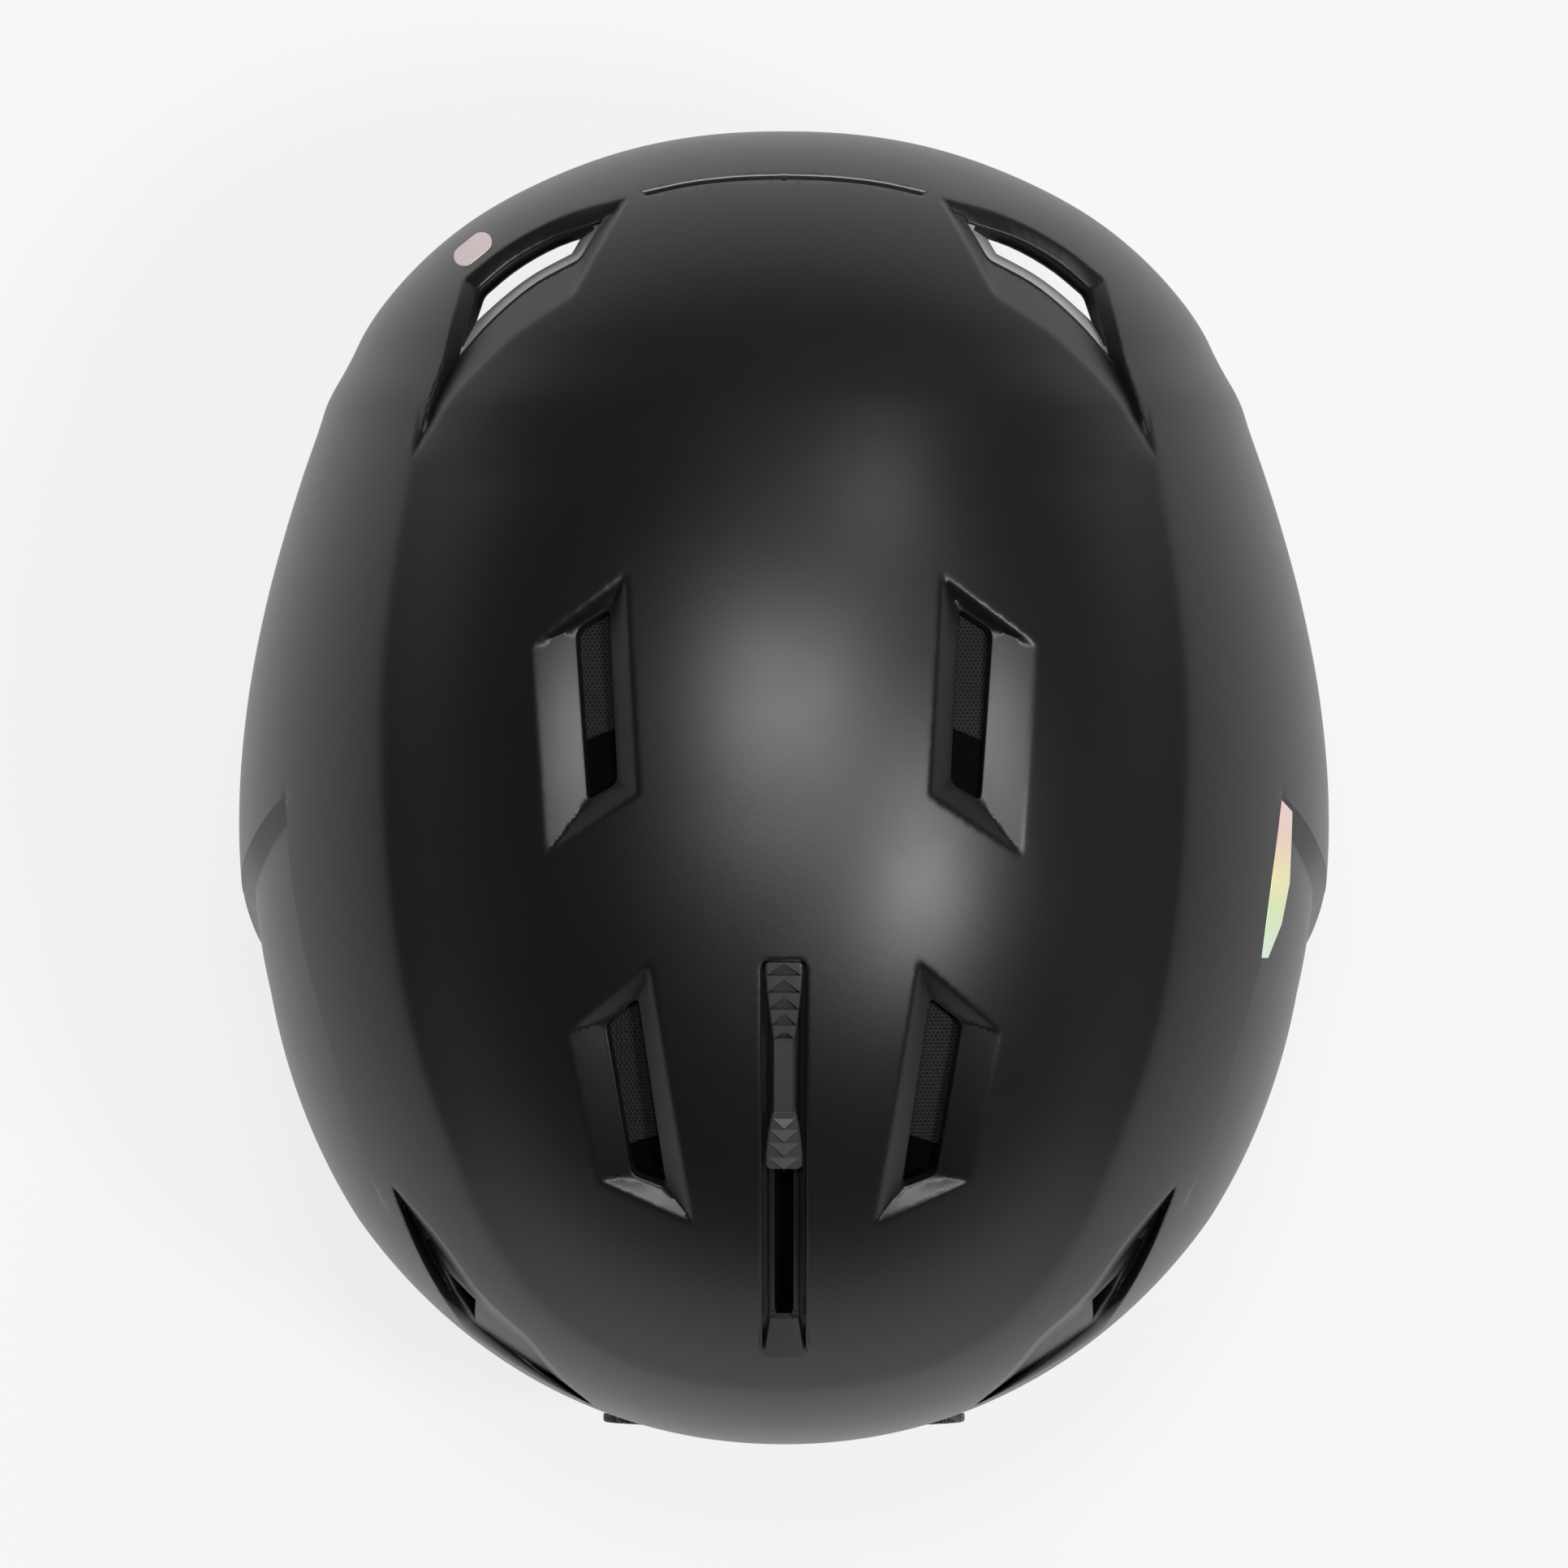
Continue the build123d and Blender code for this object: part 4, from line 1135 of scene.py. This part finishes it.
def make_ducts(dark, painted_lit_wall):
    """A tube under each brow vent. Its rear wall leans forward and is coloured pale: painted light
    standing for the light that falls on that wall.
    """
    vent = RECESSES["front"]
    ring = polygon_points(rounded_corners(vent.opening, vent.corner), 1.2)
    count = len(ring)
    tangent = np.roll(ring, -1, axis=0) - np.roll(ring, 1, axis=0)
    inward = np.stack([-tangent[:, 1], tangent[:, 0]], 1) / np.linalg.norm(tangent, axis=1)[:, None]
    if not inside(ring[:1] + inward[:1], ring)[0]:
        inward = -inward
    rear_line = np.vstack([vent.sides[3][1], vent.sides[4][1]])
    rear = np.clip(1.4 - np.abs(distance_to(ring, rear_line)) / DUCT_BLEND, 0, 1)
    height = height_at(*ring.T) - DUCT_TOP
    levels = []
    for share in np.linspace(0, 1, DUCT_STEPS):
        front_reach = DUCT_FRONT * min(1.0, share * 4)
        rear_reach = DUCT_REAR * math.sin(share * math.pi / 2)
        reach = front_reach * (1 - rear) + rear_reach * rear - DUCT_HIDE
        levels.append(np.c_[ring + inward * reach[:, None], height - DUCT_DROP * share])
    spots = np.concatenate(levels)
    quads = loft(DUCT_STEPS, count)[:-2]
    # the rear walls get the pale colour, which is painted light; the front walls get the dark one
    for part, material, is_rear in (("front", dark, False), ("rear", painted_lit_wall, True)):
        faces = [quad for quad in quads if (rear[quad[0] % count] > 0.5) == is_rear]
        for side, flip in (("left", -1), ("right", 1)):
            name = f"brow_duct_{part}_{side}"
            wall = mesh_piece(name, spots * (flip, 1, 1), faces, material, sharp=60)
            solid = wall.modifiers.new("wall", "SOLIDIFY")
            solid.thickness = 0.8 * MM
            solid.offset = 0
            edit_mesh(wall.data, drop_loose)
            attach(wall, "helmet")


# ------------------------------------------------------------------ marks set into the shell
PATCH_STEP, PATCH_ROUND = 0.7, 0.12
BADGE_CENTRE, BADGE_LENGTH, BADGE_WIDTH, BADGE_TILT = (65.0, -112.9), 8.8, 4.4, 40
FILM_OUTLINE = [(104.7, 2.8), (106.9, 5.1), (106.4, 20.1), (104.7, 28.7), (101.8, 35.7),
                (100.5, 35.7)]
LIP_HALF, LIP_RISE, LIP_SHIFT = 0.24, 0.2, -0.62


def surface_patch(name, outline, mirror, lift, material, panel=True, depth=0.25):
    """A thin plate that follows the shell, given by its outline from above on the +X side."""
    ring = polygon_points(outline, PATCH_STEP)
    plan, faces = filled_outline(ring, PATCH_STEP, PATCH_STEP * 0.5)
    places, normal, _ = shell_surface(plan_to_disc(plan), panel)
    places += normal * lift
    if mirror:
        places[:, 0] *= -1
        normal[:, 0] *= -1
    faces = facing(places, faces, normal)
    radius = np.full(len(places), PATCH_ROUND)
    solid = sheet_solid(places, -normal, faces, lift + depth, radius)
    patch = mesh_piece(name, *solid, material, sharp=50)
    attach(patch, "helmet")
    return patch


def bead(name, line, half_width, rise, material):
    """A fine raised line on the shell, from above on the +X side, with its mirror image."""
    places, normal, _ = shell_surface(plan_to_disc(line))
    across = np.cross(np.gradient(places, axis=0), normal)
    across /= np.linalg.norm(across, axis=1)[:, None]
    turns = np.radians([0, 45, 90, 135, 180, 270])
    rings = np.stack([places + across * half_width * math.cos(t) + normal * rise * math.sin(t)
                      for t in turns], 1)
    rows, count, _ = rings.shape
    spots = rings.reshape(-1, 3)
    faces = loft(rows, count)
    both = joined([(spots, faces), (spots * (-1, 1, 1), [face[::-1] for face in faces])])
    piece = mesh_piece(name, *both, material, sharp=60)
    edit_mesh(piece.data, turn_outward)
    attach(piece, "helmet")
    return piece


def pill_outline(centre, length, width, tilt):
    """Rounded bar seen from above."""
    c, s = math.cos(math.radians(tilt)), math.sin(math.radians(tilt))
    half = (length - width) / 2
    ends = arc((half, 0), width / 2, -90, 90, 20)
    ends += [(-x, -y) for x, y in ends]
    return [(centre[0] + x * c - y * s, centre[1] + x * s + y * c) for x, y in ends]


def make_marks(lip_painted_highlight):
    pearl = plastic("mark_pearl", (0.86, 0.66, 0.64), (0.95, 0.84, 0.82), 0.35)
    pill = pill_outline(BADGE_CENTRE, BADGE_LENGTH, BADGE_WIDTH, BADGE_TILT)
    badge = surface_patch("brow_badge", pill, False, 0.2, pearl)
    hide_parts("front_mark")
    film = iridescent("mark_iridescent")
    inlay = surface_patch("side_film", FILM_OUTLINE, True, 0.15, film, panel=False, depth=2.6)
    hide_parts("side_inlay")
    # a light bead along the brow groove: its pale colour is a painted highlight on the groove's lip
    line = spline_points(GROOVE, 1.5) + (0, LIP_SHIFT)
    lip = bead("brow_lip_highlight", line, LIP_HALF, LIP_RISE, lip_painted_highlight)


# ------------------------------------------------------------------ padding and stitching
PRESSURE, FILL, CLOTH_FRAMES = 4.0, 0.7, 20
# a stitch, in metres
STITCH, STITCH_GAP, THREAD = 0.0022, 0.0011, 0.00022
EAR_PIPING = [(-29, 72), (-25.5, 50), (-6, 32), (1.5, 9), (7, 5), (36, 5), (43.5, 12), (51, 40),
              (46, 55.5), (26, 71)]
EAR_FACE = 94.3
# seams are seen down one axis: these are the two axes that their points give
SIDE_VIEW, TOP_VIEW, REAR_VIEW = (1, 2), (0, 1), (0, 2)
# seams of the ear cushions: the route, how wide it is pressed in and how deep, in mm
EAR_SEAMS = (
    (rounded_loop(EAR_PIPING), 1.3, 1.4),
    (ellipse_loop((10, 44), 15.5, 20.5), 1.2, 1.0),
    ([(-9, 31), (-30, 60)], 1.2, 0.7),
    ([(26, 46), (53, 52)], 1.2, 0.9),
)
# comfort pads: piece, node, size of the cloth's mesh, cap on its swelling and how far it is drawn
# in first, all in mm; then its seams' routes, width, depth and view
TEMPLE_SEAMS = [[(-45, 119), (58, 119)], [(6, 90), (6, 150)]]
LINER_PADS = (
    ("brow_cushion", "brow_pad", 3.6, 2.8, 1.0,
     [[(x, -160), (x, -40)] for x in (-33, 0, 33)], 1.3, 1.3, TOP_VIEW),
    ("crown_cushion", "crown_pad", 4.0, 3.0, 1.0,
     [[(-18, y), (18, y)] for y in (8, -22, 38)], 1.3, 1.4, TOP_VIEW),
    ("temple_cushion_left", "side_pad_left", 4.5, 2.8, 1.0, TEMPLE_SEAMS, 1.3, 1.3, SIDE_VIEW),
    ("temple_cushion_right", "side_pad_right", 4.5, 2.8, 1.0, TEMPLE_SEAMS, 1.3, 1.3, SIDE_VIEW),
    ("nape_cushion", "nape_pad", 3.2, 2.2, 0.8,
     [[(x, 40), (x, 70)] for x in (-22, 0, 22)], 1.2, 1.0, REAR_VIEW),
    ("chin_cushion", "chin_pad", 2.6, 2.2, 0.6, [[(-70, -25), (-34, -25)]], 1.2, 0.9, TOP_VIEW),
)


def node_mesh(name, node):
    """A CAD node's solid as one closed mesh, in the row frame."""
    source, matrix = nodes[node].data, nodes[node].matrix_world
    mesh = bpy.data.meshes.new(name)
    spots = [matrix @ v.co for v in source.vertices]
    mesh.from_pydata(spots, [], [tuple(p.vertices) for p in source.polygons])

    def close_up(work):
        bmesh.ops.remove_doubles(work, verts=work.verts, dist=0.00005)
        turn_outward(work)

    edit_mesh(mesh, close_up)
    return mesh


def blown_up(piece, start, cap):
    """Where a piece's points go under pressure from inside, each at most a cap away."""
    cloth = piece.modifiers.new("stuffing", "CLOTH")
    cloth.settings.use_pressure = True
    cloth.settings.uniform_pressure_force = PRESSURE
    cloth.settings.quality = 5
    cloth.settings.effector_weights.gravity = 0
    scene = bpy.context.scene
    for step in range(1, CLOTH_FRAMES + 1):
        scene.frame_set(step)
    shaped = piece.evaluated_get(bpy.context.evaluated_depsgraph_get())
    move = np.array([v.co[:] for v in shaped.data.vertices]) - start
    piece.modifiers.remove(cloth)
    scene.frame_set(1)
    size = np.maximum(np.linalg.norm(move, axis=1), 1e-9)[:, None]
    return start + move * np.minimum(1, cap / size)


def pad(name, node, material, voxel, cap, draw_in):
    """A padded piece: its CAD solid drawn in, blown up as cloth and capped, then subdivided."""
    piece = add_object(name, node_mesh(name, node))
    bpy.context.view_layer.objects.active = piece
    piece.data.remesh_voxel_size = voxel * MM
    bpy.ops.object.voxel_remesh()
    mesh = piece.data
    for vertex in mesh.vertices:
        vertex.co -= vertex.normal * (draw_in * MM)
    start = np.array([v.co[:] for v in mesh.vertices])
    mesh.vertices.foreach_set("co", blown_up(piece, start, cap * MM).ravel())
    mesh.update()
    finer = piece.modifiers.new("finer", "SUBSURF")
    finer.levels = finer.render_levels = 1
    settle(piece)
    piece.data.materials.append(material)
    piece.data.polygons.foreach_set("use_smooth", [True] * len(piece.data.polygons))
    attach(piece, "helmet")
    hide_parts(node)
    return piece


def press_seam(piece, route, width, depth, view):
    """Presses a stitched line into a pad, along a route of points in mm."""
    mesh = piece.data
    places = np.empty(len(mesh.vertices) * 3)
    mesh.vertices.foreach_get("co", places)
    places = places.reshape(-1, 3)
    normals = np.array([v.normal[:] for v in mesh.vertices])
    gap = distance_to(places[:, list(view)], np.array(route, float) * MM)
    places -= normals * (depth * MM * np.exp(-(gap / (width * MM)) ** 2))[:, None]
    mesh.vertices.foreach_set("co", places.ravel())
    mesh.update()


def rest_flat(piece, level):
    """Nothing of a soft piece goes lower than the table: it lies flat there."""
    for vertex in piece.data.vertices:
        vertex.co.z = max(vertex.co.z, level)


def stitches(name, points, up, material, body):
    """A row of short threads along a route of points in metres, on a face that looks up."""
    lengths = lengths_along(points)
    parts = []
    place = STITCH_GAP
    while place + STITCH < lengths[-1]:
        start, end = (np.array([np.interp(s, lengths, column) for column in points.T])
                      for s in (place, place + STITCH))
        run = end - start
        across = np.cross(up, run / np.linalg.norm(run)) * THREAD
        rise = up * THREAD
        ring = np.array([across * math.cos(a) + rise * 0.7 * math.sin(a)
                         for a in np.arange(6) * math.tau / 6])
        rows = [start + run * share + rise * lift + ring
                for share, lift in ((0, -0.3), (0.2, 0.7), (0.5, 1.0), (0.8, 0.7), (1, -0.3))]
        parts.append((np.concatenate(rows), loft(len(rows), len(ring))))
        place += STITCH + STITCH_GAP
    row = mesh_piece(name, *joined(parts), material, scale=1.0, sharp=0)
    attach(row, body)


def project_route(piece, route, direction):
    """Drops a route's points onto a piece along a direction, from outside it."""
    found = []
    toward = Vector(direction)
    for point in route:
        hit, place, _, _ = piece.ray_cast(Vector(point) - toward * 0.02, toward)
        found.append(tuple(place) if hit else point)
    return np.array(found)


def make_ear_pads(cloth, thread):
    for side, name in ((-1, "left"), (1, "right")):
        piece = pad(f"ear_cushion_{name}", f"ear_pad_{name}", cloth, 3.6, 3.0, 1.2)
        for route, width, depth in EAR_SEAMS:
            press_seam(piece, route, width, depth, SIDE_VIEW)
        rest_flat(piece, 0.0004)
        route = [(side * EAR_FACE * MM, y * MM, z * MM) for y, z in rounded_loop(EAR_PIPING)]
        route = project_route(piece, route, (-side, 0, 0))
        up = np.array([float(side), 0, 0])
        stitches(f"ear_stitching_{name}", route, up, thread, "helmet")


def make_comfort_liner(cloth):
    for name, node, voxel, cap, draw_in, seams, width, depth, view in LINER_PADS:
        piece = pad(name, node, cloth, voxel, cap, draw_in)
        for route in seams:
            press_seam(piece, route, width, depth, view)
    rest_flat(piece, 0.0021)


# ------------------------------------------------------------------ chin strap
STRAP_X, STRAP_Y = 96.8, -25.0
STRAP_WIDTH, STRAP_THICK = 19.6, 1.35
LAYER = 0.75
# the arms' routes as (distance out from STRAP_X, y, z)
FRONT_ARM = [(-LAYER, -46.0, 106), (-LAYER, -44.0, 99), (-LAYER, -36.2, 72), (-LAYER, -28.8, 46),
             (-LAYER, -26.0, 39), (-LAYER, -25.0, 32), (-0.3, -25.0, 21), (-2.2, -25.0, 11),
             (-6.6, -25.0, 4.3), (-13.5, -25.0, 1.5), (-24, -25.0, 1.15), (-40, -25.3, 1.2),
             (-56, -25.0, 1.15), (-70.2, -25.0, 1.2)]
REAR_ARM = [(LAYER, 55.5, 76.6), (LAYER, 51, 74.2), (LAYER, 26, 63.4), (LAYER, -2, 51.8),
            (LAYER, -19, 44.4), (LAYER, -30, 39.6)]
ROUTE_STEP = 2.0
# where the moving strap leaves the helmet and joins the buckle, in metres
LOOP_X, LOOP_HALF, LOOP_LOW, LOOP_HIGH, LOOP_WIDTH, LOOP_THICK = 44.0, 10.7, 0.25, 3.4, 7.0, 0.9


def strap(name, route, across, width, thickness, material):
    """Flat webbing along a route, with its width directions, in mm."""
    route, across = np.array(route, float), np.array(across, float)
    travelled = lengths_along(route)
    tangents = np.gradient(route, axis=0)
    rim = thickness / 2
    reach = width / 2 - rim
    flat = np.linspace(reach, -reach, 9)[1:-1]
    section = arc((reach, 0), rim, -90, 90, 30) + [(x, rim) for x in flat]
    section += arc((-reach, 0), rim, 90, 270, 30) + [(x, -rim) for x in flat[::-1]]
    spots, marks = [], []
    for place, side, tangent, distance in zip(route, across, tangents, travelled):
        side = side / np.linalg.norm(side)
        up = np.cross(tangent / np.linalg.norm(tangent), side)
        spots += [place + side * x + up * h for x, h in section]
        marks += [(distance * MM, x / width + 0.5) for x, _ in section]
    piece = mesh_piece(name, spots, loft(len(route), len(section)), material, sharp=50)
    layer = piece.data.uv_layers.new(name="measure")
    corners = np.empty(len(piece.data.loops), int)
    piece.data.loops.foreach_get("vertex_index", corners)
    layer.data.foreach_set("uv", np.array(marks)[corners].ravel())
    edit_mesh(piece.data, turn_outward)
    return piece


def level_across(route):
    """Width directions for webbing that stands in the side plane and then lies on the table."""
    x, y, z = np.gradient(route, axis=0).T
    across = np.stack([np.zeros(len(route)), np.abs(z), -y * np.sign(z)], 1)
    across[np.abs(x) > np.abs(z)] = (0, 1, 0)
    return across


def make_straps(cloth):
    """The front arm runs through the divider to the buckle; the rear arm ends in the divider."""
    for side, name in ((-1, "left"), (1, "right")):
        front, rear = (spline_points([(side * (STRAP_X + x), y, z) for x, y, z in arm], ROUTE_STEP)
                       for arm in (FRONT_ARM, REAR_ARM))
        piece = strap(f"chin_strap_{name}", front, level_across(front), STRAP_WIDTH, STRAP_THICK,
                      cloth)
        if side > 0:
            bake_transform(piece)
        else:
            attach(piece, "helmet")
        _, y, z = np.gradient(rear, axis=0).T
        across = np.stack([np.zeros(len(rear)), -z, y], 1)
        back = strap(f"rear_strap_{name}", rear, across, STRAP_WIDTH, STRAP_THICK, cloth)
        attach(back, "helmet")
        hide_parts(f"strap_{name}")
        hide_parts(f"strap_{name}")


def make_strap_loop(rubber):
    """Elastic loop that holds the strap's spare end."""
    def squared(value, power):
        return math.copysign(min(1, abs(value) ** power), value)

    middle, half = (LOOP_LOW + LOOP_HIGH) / 2, (LOOP_HIGH - LOOP_LOW) / 2
    route = [(LOOP_X, STRAP_Y + LOOP_HALF * squared(math.cos(a), 0.35),
              middle + half * squared(math.sin(a), 0.6)) for a in np.linspace(0, math.tau, 49)]
    across = [(1, 0, 0)] * len(route)
    loop = strap("strap_loop", route, across, LOOP_WIDTH, LOOP_THICK, rubber)
    rest_flat(loop, 0.0001)
    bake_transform(loop)
    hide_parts("strap_keeper")


# ------------------------------------------------------------------ goggle strap keeper
KEEPER_RADIUS, KEEPER_OUT, KEEPER_WALL = 800.0, 138.4, 2.2
KEEPER_HALF, KEEPER_LOW, KEEPER_HIGH, KEEPER_CORNER = 38.4, 43.9, 63.0, 7.0
KEEPER_STEP, KEEPER_SINK, KEEPER_SWELL = 0.9, 0.5, 0.5
SEAM_INSET, SEAM_SINK, SEAM_HALF = 2.4, 0.35, 0.55
PIN_Y, PIN_Z, HEM_RADIUS = 134.4, 40.5, 2.5
# (place across, size) of the hem's sections, which shrink at its ends
HEM_SECTIONS = [(-24.0, 0.86), (-23.6, 0.96), (-22.8, 1.0), (22.8, 1.0), (23.6, 0.96), (24.0, 0.86)]


def keeper_outline(inset=0.0):
    """The flap's outline, rounded at its top corners and drawn in at its foot."""
    half, high, low = KEEPER_HALF - inset, KEEPER_HIGH - inset, KEEPER_LOW + inset
    corner = KEEPER_CORNER - inset
    line = [(-half + 8, low), (half - 8, low), (half - 2.4, low + 2.0), (half, low + 6)]
    line += arc((half - corner, high - corner), corner, 0, 90, 15)
    line += arc((-half + corner, high - corner), corner, 90, 180, 15)
    return line + [(-half, low + 6), (-half + 2.4, low + 2.0)]


def keeper_places(flat, lift):
    """Places over the flap's outer face, for (side, height) points, with their normals."""
    turn = flat[:, 0] / KEEPER_RADIUS
    normal = np.stack([np.sin(turn), np.cos(turn), np.zeros(len(turn))], 1)
    base = np.c_[np.zeros((len(turn), 2)), flat[:, 1]] + (0, KEEPER_OUT - KEEPER_RADIUS, 0)
    return base + normal * np.reshape(KEEPER_RADIUS + lift, (-1, 1)), normal


def make_keeper(cloth, thread):
    flat, faces = filled_outline(polygon_points(keeper_outline(), KEEPER_STEP), KEEPER_STEP, 0.5)
    seam = keeper_outline(SEAM_INSET)
    sink = SEAM_SINK * np.exp(-(distance_to(flat, closed(np.array(seam))) / SEAM_HALF) ** 2)
    middle = np.clip(1 - np.abs(flat[:, 0]) / 30, 0, 1)
    swell = KEEPER_SWELL * middle * np.sin(np.clip((flat[:, 1] - 44) / 19, 0, 1) * math.pi)
    places, normal = keeper_places(flat, swell - sink - KEEPER_SINK)
    faces = facing(places, faces, normal)
    radius = np.full(len(places), 0.7)
    sheet = sheet_solid(places, -normal, faces, KEEPER_WALL - KEEPER_SINK, radius)
    # the hem that turns round the pin
    section = [(136.0, 46.8), (137.7, 46.8), (138.0, 44.0), (137.1, 41.6)]
    section += arc((PIN_Y, PIN_Z), HEM_RADIUS, 0, -180, -20) + [(132.6, 42.6), (134.6, 44.2)]
    hem = [(x, PIN_Y + (y - PIN_Y) * size, PIN_Z + (z - PIN_Z) * size)
           for x, size in HEM_SECTIONS for y, z in section]
    parts = [sheet, (np.array(hem), loft(len(HEM_SECTIONS), len(section)))]
    flap = mesh_piece("keeper_cloth", *joined(parts), cloth, sharp=50)
    edit_mesh(flap.data, turn_outward)
    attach(flap, "goggle_keeper")
    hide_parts("keeper_flap")
    route, _ = keeper_places(polygon_points(seam, 1.0), -0.72)
    stitches("keeper_stitching", route * MM, np.array([0, 1.0, 0]), thread, "goggle_keeper")


# ------------------------------------------------------------------ finishes on the CAD pieces
def dress(names, material, edge):
    """Gives CAD nodes their material and, unless edge is 0, softened edges of that width in mm."""
    for name in names:
        piece = nodes[name]
        if not piece.material_slots:
            piece.data.materials.append(material)
        for place in piece.material_slots:
            place.material = material
        if edge:
            bevel = piece.modifiers.new("softened", "BEVEL")
            bevel.width = edge * MM
            bevel.segments = 2
            bevel.limit_method = "ANGLE"
            bevel.angle_limit = math.radians(40)
            bevel.harden_normals = False


def dress_frame(dull_black):
    net_backing = fabric("net_backing", 0.003, 0.006, 0.0007, sheen=0.0)
    trim = plastic("trim_rubber", 0.018, 0.026, 0.62, grain=1500)
    dial = plastic("dial_rubber", 0.022, 0.030, 0.72, grain=2200, grain_depth=0.00006)
    for names, material, edge in (
        ("eps_liner", foam("foam_black"), 0.6),
        ("rim_trim", trim, 0.4),
        ("shutter_plate", dull_black, 0.2),
        ("shutter_mesh", net_backing, 0),
        ("knob_screws keeper_screws dial_screw", metal("screw_steel", (0.56, 0.56, 0.58)), 0.15),
        ("dial_housing fit_cradle ear_clip_left ear_clip_right",
         plastic("fit_plastic", 0.030, 0.040, 0.40), 0.5),
        ("band_left band_right", plastic("band_plastic", 0.020, 0.028, 0.34), 0.2),
        ("dial_pinion", plastic("pinion_plastic", 0.10, 0.13, 0.4), 0.1),
        ("dial_knob", dial, 0.5),
        ("strap_divider_left strap_divider_right strap_anchors",
         plastic("divider_plastic", 0.026, 0.034, 0.42), 0.35),
        ("buckle_base buckle_slider", plastic("buckle_plastic", 0.028, 0.036, 0.38), 0.6),
        ("buckle_tab", plastic("tab_rubber", (0.30, 0.035, 0.020), (0.36, 0.05, 0.03), 0.6), 0.4),
        ("buckle_magnets", metal("magnet_nickel", (0.72, 0.71, 0.68), 0.2), 0.15),
        ("keeper_base", plastic("keeper_plastic", 0.028, 0.036, 0.42), 0.4),
        ("keeper_pin keeper_stud", metal("pin_steel", (0.60, 0.60, 0.62), 0.25), 0.15),
        ("keeper_cap", metal("snap_metal", (0.13, 0.13, 0.14), 0.34), 0),
    ):
        dress(names.split(), material, edge)


# ------------------------------------------------------------------ the whole helmet
def build():
    make_camera()
    make_stage()
    make_shell(plastic("shell_black", 0.0042, 0.0058, 0.38, rough_spread=0.006))
    grip = plastic("knob_plastic", 0.046, 0.058, 0.34)
    make_knob(grip)
    # the shutter plate's dull black, which also colours the painted shade strip under the slot
    dull_black = plastic("shutter_plastic", 0.0015, 0.0025, 0.6, gloss=0.02)
    make_track(plastic("track_plastic", 0.010, 0.014, 0.34), grip, dull_black)
    make_vent_mesh(plastic("vent_mesh", 0.018, 0.028, 0.6))
    # the pale duct colour is painted light on the rear walls
    make_ducts(plastic("duct_black", 0.006, 0.01, 0.5), plastic("duct_painted_light", 0.62, 0.72, 0.5))
    # the lip's pale grey is a painted highlight
    make_marks(plastic("lip_painted_highlight", 0.30, 0.36, 0.35))
    dress_frame(dull_black)
    thread = fabric("stitch_thread", 0.10, 0.16, 0.0004, 0.00005)
    make_ear_pads(fabric("ear_fabric", 0.016, 0.034), thread)
    make_comfort_liner(fabric("liner_fabric", 0.020, 0.045, 0.0012, 0.00022))
    make_straps(webbing("webbing", 0.010, 0.026))
    make_strap_loop(plastic("loop_rubber", 0.015, 0.022, 0.6))
    make_keeper(knit("keeper_fabric"), thread)


build()
